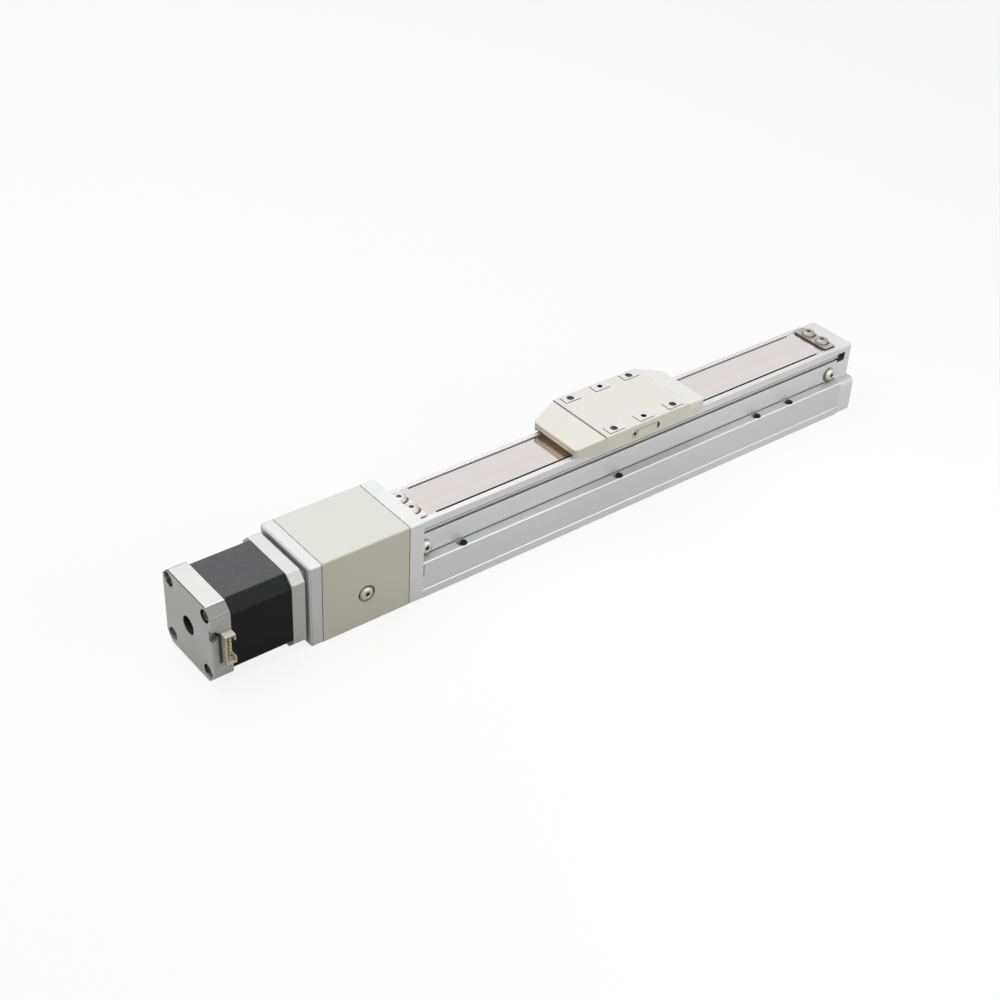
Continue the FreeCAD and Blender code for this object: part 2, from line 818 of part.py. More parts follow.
def winding_pocket(x0, x1, inset):
    low = axis_height + rotor_diameter / 2 + rotor_gap + 1.3 + inset
    high = axis_height + winding_radius - inset
    pocket = box(x0, x1, inset - 2.4, 2.4 - inset, low, high)
    return [about_axis(pocket, 45 * k) for k in range(8)]


def motor_stack():
    section = motor_section(half_motor - stack_inset, stack_chamfer, 1.5)
    stack = prism(section, "x", stack_0, flange_0)
    holes = [rod_x(rotor_diameter / 2 + rotor_gap, stack_0 - 1.0, flange_0 + 1.0)]
    holes += winding_pocket(stack_0 - 1.0, flange_0 + 1.0, 0.0)
    bore_top = axis_height + rotor_diameter / 2
    mouth = box(stack_0 - 1.0, flange_0 + 1.0, -0.6, 0.6, bore_top, bore_top + rotor_gap + 1.7)
    holes += [about_axis(mouth, 45 * k) for k in range(8)]
    for y, z in motor_corners():
        holes.append(rod_x(1.6, stack_0 - 1.0, flange_0 + 1.0, y, z))
    return stack.cut(holes)


def motor_windings():
    return winding_pocket(stack_0 - 1.2, flange_0 + 1.2, 0.2)


def motor_front_flange():
    flange = prism(motor_section(half_motor, motor_chamfer, 1.0), "x", flange_0, step_0)
    shape = flange.fuse(rod_x(pilot_diameter / 2, step_0, step_0 + 2.0)).removeSplitter()
    holes = [
        rod_x(winding_radius + 0.2, flange_0 - 1.0, flange_0 + 1.5),
        rod_x(motor_bearing_diameter / 2, flange_0 - 1.0, flange_0 + 1.0 + motor_bearing_width),
        rod_x(4.0, flange_0, step_0 + 3.0),
    ]
    for y, z in motor_corners():
        holes.append(rod_x(1.5, step_0 - 4.4, step_0 + 1.0, y, z))
        holes.append(rod_x(1.5, flange_0 - 1.0, flange_0 + 1.9, y, z))
    return shape.cut(holes)


def motor_tie_screws():
    seat = cap_0 + tie_pocket_depth
    length = cap_length - tie_pocket_depth + stack_length + 1.6
    return [pan_screw(vector(seat, y, z), vector(-1, 0, 0), length) for y, z in motor_corners()]


def motor_bearing_spans():
    return tuple((x, x + motor_bearing_width) for x in (cap_0 + 3.0, flange_0 + 1.0))


def motor_bearing_outer_rings():
    return [bearing_outer(motor_bearing_diameter / 2, 4.6, x0, x1) for x0, x1 in motor_bearing_spans()]


def motor_bearing_inner_rings():
    return [tube_x(shaft_radius, 4.2, x0, x1) for x0, x1 in motor_bearing_spans()]


def motor_shaft():
    end = step_0 + shaft_reach
    return turned([
        (cap_0 + 2.2, 0.0),
        (cap_0 + 2.2, shaft_radius - 0.4),
        (cap_0 + 2.6, shaft_radius),
        (end - 0.5, shaft_radius),
        (end, shaft_radius - 0.5),
        (end, 0.0),
    ])


def motor_rotor():
    x0 = stack_0 + 2.0
    x1 = flange_0 - 2.0
    middle = (x0 + x1) / 2
    outer = rotor_diameter / 2
    return turned([
        (x0, shaft_radius),
        (x1, shaft_radius),
        (x1, outer),
        (middle + 1.2, outer),
        (middle + 1.2, outer - 1.2),
        (middle - 1.2, outer - 1.2),
        (middle - 1.2, outer),
        (x0, outer),
    ])


def bumper_motor_end():
    start = body_0 + tongue_length
    return tube_x(5.0, bumper_diameter / 2, start, start + bumper_motor_length)


def bumper_far_end():
    end = body_1 - tongue_length
    return tube_x(5.0, bumper_diameter / 2, end - bumper_far_length, end)


def carriage_block():
    core = mirrored([
        (stem_half, floor_thickness + 1.0, 0.5),
        (stem_half, shoulder_height + 0.5, 0),
        (block_half, shoulder_height + 0.5, 0.5),
        (block_half, belt_bottom - 0.8, 0),
    ])
    x0 = table_rest - carriage_half
    x1 = table_rest + carriage_half
    web = [
        (web_inside, belt_bottom - 1.5, 0),
        (block_half, belt_bottom - 1.5, 0),
        (block_half, table_bottom + 0.3, 0),
        (head_half, table_bottom + 0.3, 0.3),
        (head_half, plate_bottom, 0),
        (web_inside, plate_bottom, 0),
    ]
    wing = prism(web, "x", x0 + 6.0, x1 - 6.0)
    shape = prism(core, "x", x0, x1).fuse([wing, across(wing)]).removeSplitter()
    holes = [rod_x(nut_radius + 0.05, x0 - 1.0, x1 + 1.0)]
    for y, z in nut_screw_places():
        holes.append(rod_x(1.25, x0 - 1.0, x0 + 7.0, y, z))
    for x, y in plate_screw_places():
        holes.append(rod_z(1.25, table_bottom, plate_bottom + 1.0, x, y))
    return shape.cut(holes)


def nut_screw_places():
    y = nut_screw_pitch_y / 2
    z = nut_screw_pitch_z / 2
    return [(a * y, axis_height + b * z) for a in (-1, 1) for b in (-1, 1)]


def plate_screw_places():
    y = (web_inside + head_half) / 2 + 0.2
    return [(table_rest + x, side * y) for x in (-hole_pitch / 2, hole_pitch / 2) for side in (-1, 1)]


def guide_block(side):
    outside = rail_inside - running_gap
    section = [
        (stem_half, rail_middle - 4.9, 0),
        (outside, rail_middle - 4.9, 0.3),
        (outside, rail_middle - 1.9, 0),
        (outside + 1.4, rail_middle - 0.5, 0),
        (outside + 1.4, rail_middle + 0.5, 0),
        (outside, rail_middle + 1.9, 0),
        (outside, rail_middle + 4.9, 0.3),
        (stem_half, rail_middle + 4.9, 0),
    ]
    reach = carriage_half - 4.0
    block = prism(section, "x", table_rest - reach, table_rest + reach)
    return block if side > 0 else across(block)


def guide_end_caps():
    low = rail_middle - 4.9
    high = rail_middle + 4.9
    outside = rail_inside - running_gap
    caps = []
    for x in (table_rest - carriage_half, table_rest + carriage_half - 4.0):
        cap = prism(rectangle(stem_half, outside, low, high, 0.5), "x", x, x + 4.0)
        caps += [cap, across(cap)]
    return caps


def ball_nut():
    x0 = table_rest - carriage_half
    bore = screw_radius + running_gap
    half_wide = nut_flange_width / 2
    half_tall = nut_flange_height / 2
    low = axis_height - half_tall
    high = axis_height + half_tall
    section = mirrored([(half_wide, low, 3.0), (half_wide, high, 3.0)])
    flange = prism(section, "x", nut_end, x0)
    body = rod_x(nut_radius, x0, x0 + nut_body_length)
    holes = [rod_x(bore, nut_end - 1.0, x0 + nut_body_length + 1.0)]
    for y, z in nut_screw_places():
        holes.append(rod_x(1.3, nut_end - 1.0, x0 + 1.0, y, z))
        holes.append(rod_x(2.4, nut_end - 1.0, nut_end + 2.6, y, z))
    return flange.fuse(body).removeSplitter().cut(holes)


def ball_nut_screws():
    way = vector(-1, 0, 0)
    return [cap_screw(vector(nut_end + 2.6, y, z), way, 8.0, 1.2, 2.3) for y, z in nut_screw_places()]


def pad_places():
    return [(table_rest + k * hole_pitch, side * hole_y) for k in (-1, 0, 1) for side in (-1, 1)]


def table_plate():
    reach = table_middle_half - 0.4
    x0 = table_rest - reach
    x1 = table_rest + reach
    shape = box(x0, x1, -plate_half, plate_half, plate_bottom, plate_top)
    pads = []
    holes = []
    high = table_height + pad_rise
    floor = plate_bottom + plate_depth / 5
    for x, y in pad_places():
        pad = rectangle(x - pad_length / 2, x + pad_length / 2, y - pad_width / 2, y + pad_width / 2, 0.4)
        pads.append(prism(pad, "z", plate_top - 1.0, high))
        if x == table_rest:
            holes.append(rod_z(table_dowel_diameter / 2, floor, high + 1.0, x, y))
        else:
            holes.append(rod_z(table_thread_diameter / 2, floor, high + 1.0, x, y))
            rim = table_thread_diameter / 2
            holes.append(Part.makeCone(rim, rim + 0.45, 0.45, vector(x, y, high - 0.45), vector(0, 0, 1)))
    for x, y in plate_screw_places():
        holes.append(rod_z(1.3, plate_bottom - 1.0, plate_top + 1.0, x, y))
        holes.append(rod_z(2.4, plate_screw_seat, plate_top + 1.0, x, y))
    port = rod_y(0.6 * grease_radius, -plate_half - 1.0, 2.0 - plate_half, grease_x(), window_middle)
    holes.append(port)
    return shape.fuse(pads).removeSplitter().cut(holes)


def table_plate_screws():
    way = vector(0, 0, 1)
    length = plate_screw_seat - (table_bottom + 2 * plate_bottom) / 3
    tall = plate_top - plate_screw_seat - 0.3
    spots = plate_screw_places()
    return [cap_screw(vector(x, y, plate_screw_seat), way, length, 1.2, tall) for x, y in spots]


def grease_x():
    return table_rest - 8.6


def grease_port():
    x = grease_x()
    neck = rod_y(0.575 * grease_radius, -plate_half - 0.2, 1.6 - plate_half, x, window_middle)
    head = rod_y(grease_radius, -plate_half - 0.9, -plate_half, x, window_middle)
    bore = rod_y(0.4 * grease_radius, -plate_half - 2.0, 1.0 - plate_half, x, window_middle)
    return head.fuse(neck).removeSplitter().cut(bore)


def table_cover():
    x0 = table_rest - table_middle_half
    x1 = table_rest + table_middle_half
    inner = half_table - table_wall
    roof = table_height - table_roof
    section = [
        (half_table, table_bottom, 0.3),
        (half_table, table_height, 0.9),
        (-half_table, table_height, 0.9),
        (-half_table, table_bottom, 0.3),
        (-inner, table_bottom, 0),
        (-inner, roof, 0),
        (inner, roof, 0),
        (inner, table_bottom, 0),
    ]
    holes = []
    for x, y in pad_places():
        a = pad_length / 2 + 0.15
        b = pad_width / 2 + 0.15
        holes.append(box(x - a, x + a, y - b, y + b, roof - 1.0, table_height + 1.0))
    low = window_middle - window_height / 2
    high = window_middle + window_height / 2
    corner = window_height / 2 - 0.1
    window = rectangle(grease_x() - corner, table_rest + 8.0, low, high, corner)
    holes.append(prism(window, "y", -half_table - 1.0, 2 / 3 * table_wall - half_table))
    holes.append(rod_y(grease_radius + 0.1, -half_table, 0.5 - plate_half, grease_x(), window_middle))
    return prism(section, "x", x0, x1).cut(holes)


def table_end_body(inset):
    """Far-side end of the table: tapered in plan and sloping down to its end."""
    x0 = table_rest + table_middle_half
    x1 = table_rest + table_end - inset
    wide = half_table - 0.2 - inset
    narrow = table_end_width / 2 - inset
    corner = 3.0 - inset
    plan = [(x0, -wide, 0), (x1, -narrow, corner), (x1, narrow, corner), (x0, wide, 0)]
    high = table_height - end_cover_step - inset
    low = table_end_height - inset
    slope = (high - low) / (table_end - table_middle_half)
    reach = x1 - x0 + 1.0
    over = 2 * table_height
    upper = [
        (x0 - 1.0, high + slope, 0),
        (x0 + reach, high - slope * reach, 0),
        (x0 + reach, over, 0),
        (x0 - 1.0, over, 0),
    ]
    return prism(plan, "z", table_bottom, table_height).cut(prism(upper, "y", -half_table, half_table))


def table_end_cover_far():
    x0 = table_rest + table_middle_half
    x1 = table_rest + table_end
    shell = table_end_body(0.0)
    top_edges = [edge for edge in shell.Edges if edge.BoundBox.ZMin > table_bottom + 0.1]
    shell = shell.makeFillet(0.6, [edge for edge in top_edges if edge.BoundBox.XMax > x0 + 0.1])
    tunnel_top = table_bottom + 0.4 * table_end_room
    tunnel = box(x0, x1 + 1.0, -tunnel_half, tunnel_half, table_bottom - 1.0, tunnel_top)
    return shell.cut([table_end_body(end_cover_wall), tunnel, belt_wiper_far()])


def table_end_cover_motor():
    return table_end_cover_far().mirror(vector(table_rest, 0, 0), vector(1, 0, 0))


def belt_wiper_far():
    x1 = table_rest + table_end - end_cover_wall
    top = table_bottom + 0.62 * table_end_room
    half = tunnel_half - 0.2
    low = belt_top + 0.5
    section = mirrored([(half, low, 0.3), (half, top, 0.3)])
    return prism(section, "x", x1 - wiper_length, x1)


def belt_wiper_motor():
    return belt_wiper_far().mirror(vector(table_rest, 0, 0), vector(1, 0, 0))


def guide_rail_left():
    return guide_rail(1)


def guide_rail_right():
    return guide_rail(-1)


def guide_block_left():
    return guide_block(1)


def guide_block_right():
    return guide_block(-1)


pieces = [
    base_extrusion,
    motor_end_block,
    far_end_cap,
    guide_rail_left,
    guide_rail_right,
    steel_belt,
    belt_clamp_motor_end,
    belt_clamp_far_end,
    belt_clamp_screws,
    body_side_screws,
    end_block_screws,
    far_cap_screws,
    fixed_bearing_outer_rings,
    support_bearing_outer_ring,
    bearing_retainer,
    retainer_screws,
    bumper_motor_end,
    bumper_far_end,
    coupling_bracket,
    coupling_cover,
    coupling_cover_screws,
    motor_adaptor_plate,
    motor_mount_screws,
    motor_front_flange,
    motor_stack,
    motor_windings,
    motor_rear_cap,
    motor_tie_screws,
    motor_bearing_outer_rings,
    connector_shell,
    connector_pins,
    connector_board,
    ball_screw,
    bearing_lock_nut,
    fixed_bearing_inner_rings,
    support_bearing_inner_ring,
    coupling_hub_screw_side,
    coupling_spider,
    coupling_hub_motor_side,
    coupling_clamp_screws,
    motor_shaft,
    motor_rotor,
    motor_bearing_inner_rings,
    carriage_block,
    guide_block_left,
    guide_block_right,
    guide_end_caps,
    ball_nut,
    ball_nut_screws,
    table_plate,
    table_plate_screws,
    grease_port,
    table_cover,
    table_end_cover_motor,
    table_end_cover_far,
    belt_wiper_motor,
    belt_wiper_far,
]

os.makedirs("parts", exist_ok=True)
for piece in pieces:
    shape = piece()
    if isinstance(shape, list):
        shape = Part.makeCompound(shape)
    shape.exportStep("parts/" + piece.__name__ + ".step")
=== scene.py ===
import json
import math

import bmesh
import bpy
from bpy.props import FloatProperty, FloatVectorProperty, IntProperty, PointerProperty
from bpy.types import Operator, Panel, PropertyGroup
from mathutils import Matrix, Vector


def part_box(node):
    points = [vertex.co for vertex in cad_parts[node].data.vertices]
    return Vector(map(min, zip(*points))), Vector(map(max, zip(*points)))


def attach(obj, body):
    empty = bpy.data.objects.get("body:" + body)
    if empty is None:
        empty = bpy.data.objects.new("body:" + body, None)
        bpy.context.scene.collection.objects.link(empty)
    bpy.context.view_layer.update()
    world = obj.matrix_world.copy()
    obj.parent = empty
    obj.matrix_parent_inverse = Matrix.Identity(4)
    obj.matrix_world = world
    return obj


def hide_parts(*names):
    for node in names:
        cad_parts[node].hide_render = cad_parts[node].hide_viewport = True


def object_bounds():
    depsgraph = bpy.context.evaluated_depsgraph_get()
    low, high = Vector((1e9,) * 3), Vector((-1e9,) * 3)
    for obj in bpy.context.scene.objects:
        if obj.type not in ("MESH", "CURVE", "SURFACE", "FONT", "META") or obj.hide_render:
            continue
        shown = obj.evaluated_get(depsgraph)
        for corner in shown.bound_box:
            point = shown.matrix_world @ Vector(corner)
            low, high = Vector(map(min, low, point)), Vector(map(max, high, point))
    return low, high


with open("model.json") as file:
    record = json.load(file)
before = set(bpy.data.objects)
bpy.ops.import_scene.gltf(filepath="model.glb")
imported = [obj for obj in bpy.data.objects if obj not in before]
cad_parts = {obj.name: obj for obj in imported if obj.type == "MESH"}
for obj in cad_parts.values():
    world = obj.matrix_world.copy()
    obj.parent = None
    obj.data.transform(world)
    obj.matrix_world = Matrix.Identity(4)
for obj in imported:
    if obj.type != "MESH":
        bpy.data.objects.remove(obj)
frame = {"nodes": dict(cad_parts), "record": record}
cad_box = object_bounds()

bl_info = {
    "name": "Ball screw slide table",
    "version": (1, 0, 0),
    "blender": (4, 5, 0),
    "location": "View3D > Sidebar > Slide table",
    "description": "Finishes, small pieces and studio for a ball screw slide table",
    "category": "Object",
}

MM = 0.001

# The three bodies that move as one piece each
BODY = "slide_body"
SCREW = "screw_and_rotor"
TABLE = "table"


class SlideFinishSettings(PropertyGroup):
    """Colours and wear of the finishes, and the strength of their painted shade and highlights."""

    anodised: FloatVectorProperty(
        name="Anodised aluminium", description="Colour of the body, end block and cap",
        subtype="COLOR", size=3, min=0.0, max=1.0, default=(0.70, 0.703, 0.705))
    cast: FloatVectorProperty(
        name="Motor caps", description="Colour of the motor's machined end caps",
        subtype="COLOR", size=3, min=0.0, max=1.0, default=(0.61, 0.61, 0.605))
    stack: FloatVectorProperty(
        name="Motor stack", description="Colour of the painted motor stack",
        subtype="COLOR", size=3, min=0.0, max=1.0, default=(0.007, 0.0075, 0.0075))
    cover: FloatVectorProperty(
        name="Covers", description="Colour of the moulded covers",
        subtype="COLOR", size=3, min=0.0, max=1.0, default=(0.705, 0.705, 0.61))
    belt: FloatVectorProperty(
        name="Steel belt", description="Colour of the cover belt",
        subtype="COLOR", size=3, min=0.0, max=1.0, default=(0.73, 0.69, 0.67))
    plated: FloatVectorProperty(
        name="Plated screws", description="Colour of the plated screws and clamp plates",
        subtype="COLOR", size=3, min=0.0, max=1.0, default=(0.64, 0.60, 0.55))
    # The rubbed edges also carry painted highlights, which stand in for light on rounded edges
    edge_radius: FloatProperty(
        name="Edge radius", description="How far the rubbed edges reach",
        unit="LENGTH", min=0.0, max=0.002, default=0.0003)
    edge_wear: FloatProperty(
        name="Edge wear", description="How strongly edges are rubbed bright",
        subtype="FACTOR", min=0.0, max=1.0, default=0.5)
    marks: FloatProperty(
        name="Handling marks", description="Strength of the faint handling marks",
        subtype="FACTOR", min=0.0, max=1.0, default=0.4)
    # Strength of the painted shade in corners and holes, where little light reaches
    grime: FloatProperty(
        name="Grime", description="Strength of the dark film in corners and holes",
        subtype="FACTOR", min=0.0, max=1.0, default=0.75)


class SlideSizeSettings(PropertyGroup):
    """Sizes of the small pieces."""

    lead: FloatProperty(
        name="Screw lead", description="Travel for one turn of the screw",
        unit="LENGTH", min=0.001, max=0.03, default=0.010)
    ball: FloatProperty(
        name="Ball diameter", description="Diameter of the balls in the screw's groove",
        unit="LENGTH", min=0.0005, max=0.006, default=0.002)
    thread_pitch: FloatProperty(
        name="Thread pitch", description="Pitch of the threads in the table's holes",
        unit="LENGTH", min=0.0002, max=0.002, default=0.0007)
    edge_break: FloatProperty(
        name="Edge break", description="Width of the broken edges of machined and moulded pieces",
        unit="LENGTH", min=0.0, max=0.001, default=0.0003)
    knurls: IntProperty(
        name="Knurls", description="Knurls round the head of a cap screw",
        min=12, max=80, default=36)
    round_steps: IntProperty(
        name="Round steps", description="Steps round a turned piece",
        min=24, max=192, default=72)


class SlideStageSettings(PropertyGroup):
    """Camera, floor and light."""

    camera_place: FloatVectorProperty(
        name="Camera place", description="Where the camera stands",
        subtype="XYZ", unit="LENGTH", size=3, default=(-0.51726, -0.52050, 0.50499))
    camera_turn: FloatVectorProperty(
        name="Camera turn", description="How the camera is turned",
        subtype="EULER", size=3,
        default=(math.radians(54.385), math.radians(-2.510), math.radians(-38.058)))
    lens: FloatProperty(
        name="Lens", description="Focal length in millimetres",
        min=10.0, max=300.0, default=60.093)
    floor: FloatVectorProperty(
        name="Floor", description="Colour that the floor throws back on the slide",
        subtype="COLOR", size=3, min=0.0, max=1.0, default=(0.21, 0.207, 0.19))
    ambient: FloatProperty(
        name="Ambient", description="Even light from all round",
        min=0.0, max=2.0, default=0.10)
    overhead: FloatProperty(
        name="Overhead light", description="Power of the soft light overhead, in watts",
        min=0.0, max=100.0, default=13.0)
    fill: FloatProperty(
        name="Fill light", description="Power of the soft light in front, in watts",
        min=0.0, max=100.0, default=1.4)


# Shader nodes


def feed(tree, socket, value):
    """Link a socket into another, or set its value."""
    if isinstance(value, bpy.types.NodeSocket):
        tree.links.new(value, socket)
    else:
        socket.default_value = value


def add_node(tree, kind, **values):
    """New node with its named inputs set or linked."""
    made = tree.nodes.new(kind)
    for name, value in values.items():
        feed(tree, made.inputs[name.replace("_", " ")], value)
    return made


def add_math(tree, operation, first, second=0.0, clamp=False):
    made = tree.nodes.new("ShaderNodeMath")
    made.operation = operation
    made.use_clamp = clamp
    feed(tree, made.inputs[0], first)
    feed(tree, made.inputs[1], second)
    return made.outputs[0]


def times(tree, first, second, clamp=False):
    return add_math(tree, "MULTIPLY", first, second, clamp)


def add_vector_math(tree, operation, first, second):
    made = tree.nodes.new("ShaderNodeVectorMath")
    made.operation = operation
    feed(tree, made.inputs[0], first)
    feed(tree, made.inputs[1], second)
    return made.outputs["Value" if operation in {"DOT_PRODUCT", "DISTANCE"} else "Vector"]


def add_tint(tree, factor, low, high):
    """Colour between low and high by a factor."""
    made = tree.nodes.new("ShaderNodeMix")
    made.data_type = "RGBA"
    feed(tree, made.inputs[0], factor)
    feed(tree, made.inputs[6], low if isinstance(low, bpy.types.NodeSocket) else (*low, 1.0))
    feed(tree, made.inputs[7], high if isinstance(high, bpy.types.NodeSocket) else (*high, 1.0))
    return made.outputs[2]


def add_span(tree, value, low, high, start=0.0, end=1.0):
    """A value between start and end spread between low and high."""
    made = add_node(tree, "ShaderNodeMapRange", Value=value, From_Min=start, From_Max=end,
                    To_Min=low, To_Max=high)
    return made.outputs[0]


def add_noise(tree, place, scale, detail, **values):
    made = add_node(tree, "ShaderNodeTexNoise", Vector=place, Scale=scale, Detail=detail, **values)
    return made.outputs["Fac"]


def object_place(tree):
    return tree.nodes.new("ShaderNodeTexCoord").outputs["Object"]


# Node groups that several finishes share


def new_group(name, inputs, outputs):
    group = bpy.data.node_groups.new(name, "ShaderNodeTree")
    for label, value in inputs.items():
        socket = group.interface.new_socket(label, in_out="INPUT", socket_type="NodeSocketFloat")
        socket.default_value = value
    for label in outputs:
        group.interface.new_socket(label, in_out="OUTPUT", socket_type="NodeSocketFloat")
    start = group.nodes.new("NodeGroupInput").outputs
    end = group.nodes.new("NodeGroupOutput").inputs
    return group, start, end


def stretched_place(tree, along, across):
    """Object coordinates scaled along X and across it."""
    scale = add_node(tree, "ShaderNodeCombineXYZ", X=along, Y=across, Z=across).outputs[0]
    return add_vector_math(tree, "MULTIPLY", object_place(tree), scale)


def folded_place(tree):
    """Object coordinates with the two sides of the middle plane laid on each other."""
    place = add_node(tree, "ShaderNodeSeparateXYZ", Vector=object_place(tree)).outputs
    return {"X": place["X"], "Y": add_math(tree, "ABSOLUTE", place["Y"]), "Z": place["Z"]}


def upward(tree):
    """How far a face looks up, from -1 to 1."""
    normal = tree.nodes.new("ShaderNodeTexCoord").outputs["Normal"]
    return add_node(tree, "ShaderNodeSeparateXYZ", Vector=normal).outputs["Z"]


def drawn_lines():
    """Fine lines that run along X, as drawing and brushing leave them."""
    group, start, end = new_group("drawn_lines", {"Along": 6.0, "Across": 2500.0}, ("Height", "Tone"))
    place = stretched_place(group, start["Along"], start["Across"])
    fine = add_noise(group, place, 1.0, 3.0, Roughness=0.65)
    wide_place = stretched_place(group, times(group, start["Along"], 0.4),
                                 times(group, start["Across"], 0.08))
    both = add_math(group, "ADD", fine, add_noise(group, wide_place, 1.0, 2.0))
    feed(group, end["Height"], fine)
    feed(group, end["Tone"], add_span(group, both, -0.5, 1.5, 0.0, 2.0))
    return group


def fine_grain():
    """Fine grain of blasted metal and spark-eroded mouldings."""
    group, start, end = new_group("fine_grain", {"Scale": 2500.0, "Cloud": 60.0}, ("Height", "Tone"))
    place = object_place(group)
    grain = add_noise(group, place, start["Scale"], 3.0, Roughness=0.7)
    cloud = add_noise(group, place, start["Cloud"], 2.0)
    pits = add_node(group, "ShaderNodeTexVoronoi", Vector=place, Scale=times(group, start["Scale"], 0.45))
    feed(group, end["Height"], add_math(group, "ADD", grain, times(group, pits.outputs["Distance"], 0.6)))
    both = add_math(group, "ADD", times(group, grain, 0.45), times(group, cloud, 0.55))
    feed(group, end["Tone"], add_span(group, both, -0.6, 1.6))
    return group


def turned_rings():
    """Rings across X, as a lathe or a stack of sheets leaves them."""
    group, start, end = new_group("turned_rings", {"Pitch": 9000.0}, ("Height", "Tone"))
    along = add_node(group, "ShaderNodeSeparateXYZ", Vector=object_place(group)).outputs["X"]
    place = add_node(group, "ShaderNodeCombineXYZ", X=times(group, along, start["Pitch"])).outputs[0]
    line = add_noise(group, place, 1.0, 2.0)
    feed(group, end["Height"], line)
    feed(group, end["Tone"], add_span(group, line, -0.3, 1.3))
    return group


def rubbed_edges():
    """Mask of worn edges, a little broken up, which also paints highlights on rounded edges."""
    group, start, end = new_group("rubbed_edges", {"Radius": 0.0003, "Amount": 0.5}, ("Edge",))
    bevel = add_node(group, "ShaderNodeBevel", Radius=start["Radius"])
    bevel.samples = 6
    normal = group.nodes.new("ShaderNodeNewGeometry").outputs["Normal"]
    turn = add_vector_math(group, "DOT_PRODUCT", bevel.outputs["Normal"], normal)
    sharp = times(group, add_math(group, "SUBTRACT", 1.0, turn), 5.0, clamp=True)
    kept = add_span(group, add_noise(group, object_place(group), 220.0, 3.0), 0.2, 1.4)
    broken = times(group, sharp, kept, clamp=True)
    feed(group, end["Edge"], times(group, broken, start["Amount"]))
    return group


def handling_marks():
    """Faint uneven patches that handling leaves."""
    group, start, end = new_group("handling_marks", {"Scale": 35.0, "Amount": 0.4}, ("Mark",))
    patch = add_noise(group, object_place(group), start["Scale"], 5.0, Roughness=0.6, Distortion=0.6)
    level = add_span(group, patch, 0.0, 1.0, 0.42, 0.75)
    feed(group, end["Mark"], times(group, level, start["Amount"]))
    return group


def corner_grime():
    """Mask of painted shade in the joints, slots and holes, where little light reaches."""
    group, start, end = new_group("corner_grime", {"Reach": 0.003, "Amount": 0.6}, ("Grime",))
    open_sky = add_node(group, "ShaderNodeAmbientOcclusion", Distance=start["Reach"])
    open_sky.samples = 8
    deep = add_span(group, open_sky.outputs["AO"], 1.0, 0.0, 0.08, 0.55)
    feed(group, end["Grime"], times(group, deep, start["Amount"]))
    return group


def settled_dust():
    """Mask of the faces that look up, for the specks that settle there and for painted light from above."""
    group, start, end = new_group("settled_dust", {"Amount": 0.5, "Scale": 900.0}, ("Dust",))
    faces_up = add_span(group, upward(group), 0.0, 1.0, 0.65, 1.0)
    specks = add_noise(group, object_place(group), start["Scale"], 4.0, Roughness=0.7)
    uneven = times(group, faces_up, add_span(group, specks, 0.7, 1.3))
    feed(group, end["Dust"], times(group, uneven, start["Amount"], clamp=True))
    return group


def sheared_sides():
    """Mask of the upright sides of a plate, for painted shade that darkens them."""
    group, start, end = new_group("sheared_sides", {"Amount": 0.8}, ("Side",))
    upright = add_span(group, add_math(group, "ABSOLUTE", upward(group)), 1.0, 0.0, 0.3, 0.8)
    feed(group, end["Side"], times(group, upright, start["Amount"]))
    return group


BOX_SIDES = ("X low", "Y low", "Z low", "X high", "Y high", "Z high")
BALL_VALUES = ("X", "Y", "Z", "Radius")


def within_box():
    """Mask of what lies in a box, on both sides of the middle plane."""
    group, start, end = new_group("within_box", dict.fromkeys(BOX_SIDES, 0.0), ("Inside",))
    inside = 1.0
    for axis, value in folded_place(group).items():
        above = add_math(group, "GREATER_THAN", value, start[axis + " low"])
        below = add_math(group, "LESS_THAN", value, start[axis + " high"])
        inside = times(group, inside, times(group, above, below))
    feed(group, end["Inside"], inside)
    return group


def within_ball():
    """Mask of what lies within a radius of a point, on both sides of the middle plane."""
    group, start, end = new_group("within_ball", dict.fromkeys(BALL_VALUES, 0.0), ("Inside",))
    place = add_node(group, "ShaderNodeCombineXYZ", **folded_place(group)).outputs[0]
    middle = add_node(group, "ShaderNodeCombineXYZ", X=start["X"], Y=start["Y"], Z=start["Z"]).outputs[0]
    away = add_vector_math(group, "DISTANCE", place, middle)
    feed(group, end["Inside"], add_math(group, "LESS_THAN", away, start["Radius"]))
    return group


def use_group(tree, maker, **values):
    """Place a shared group, which its maker makes once, and give its outputs."""
    made = tree.nodes.new("ShaderNodeGroup")
    made.node_tree = bpy.data.node_groups.get(maker.__name__) or maker()
    for label, value in values.items():
        feed(tree, made.inputs[label], value)
    return made.outputs


def inside_box(tree, low, high):
    """Mask of a box whose corners are in millimetres."""
    corners = [value * MM for value in (*low, *high)]
    return use_group(tree, within_box, **dict(zip(BOX_SIDES, corners)))["Inside"]


def inside_ball(tree, middle, radius):
    """Mask of a ball whose middle and radius are in millimetres."""
    values = [value * MM for value in (*middle, radius)]
    return use_group(tree, within_ball, **dict(zip(BALL_VALUES, values)))["Inside"]


# Finishes

# How strongly the boxes and balls of a finish act on it: the share of painted corner shade that
# stays in the boxes with less shade, the painted shade in shade boxes and shadow balls, the painted
# highlights in bright boxes, and the patches
SHADE_LEFT = 0.15
SHADE_BOX_SHARE = 0.96
SHADOWED = 0.9
HIGHLIGHT_SHARE = 0.6
PATCHED = 0.9

# How handling marks, the painted shade on upright sides and relief show in a finish
MARKED_SPREAD = 1.6
MARKED_ROUGHNESS = 0.12
UPRIGHT_SHADE_FACTOR = 0.12
RELIEF = 0.5

# Radius of a button head and half of a box as long as the body, in millimetres
BUTTON_HEAD = 3.7
HALF_LENGTH = 150


def chosen(name):
    """Colour from the settings."""
    return getattr(bpy.context.scene.slide_finish, name)


def shaded(colour, factor):
    return tuple(min(1.0, channel * factor) for channel in colour)


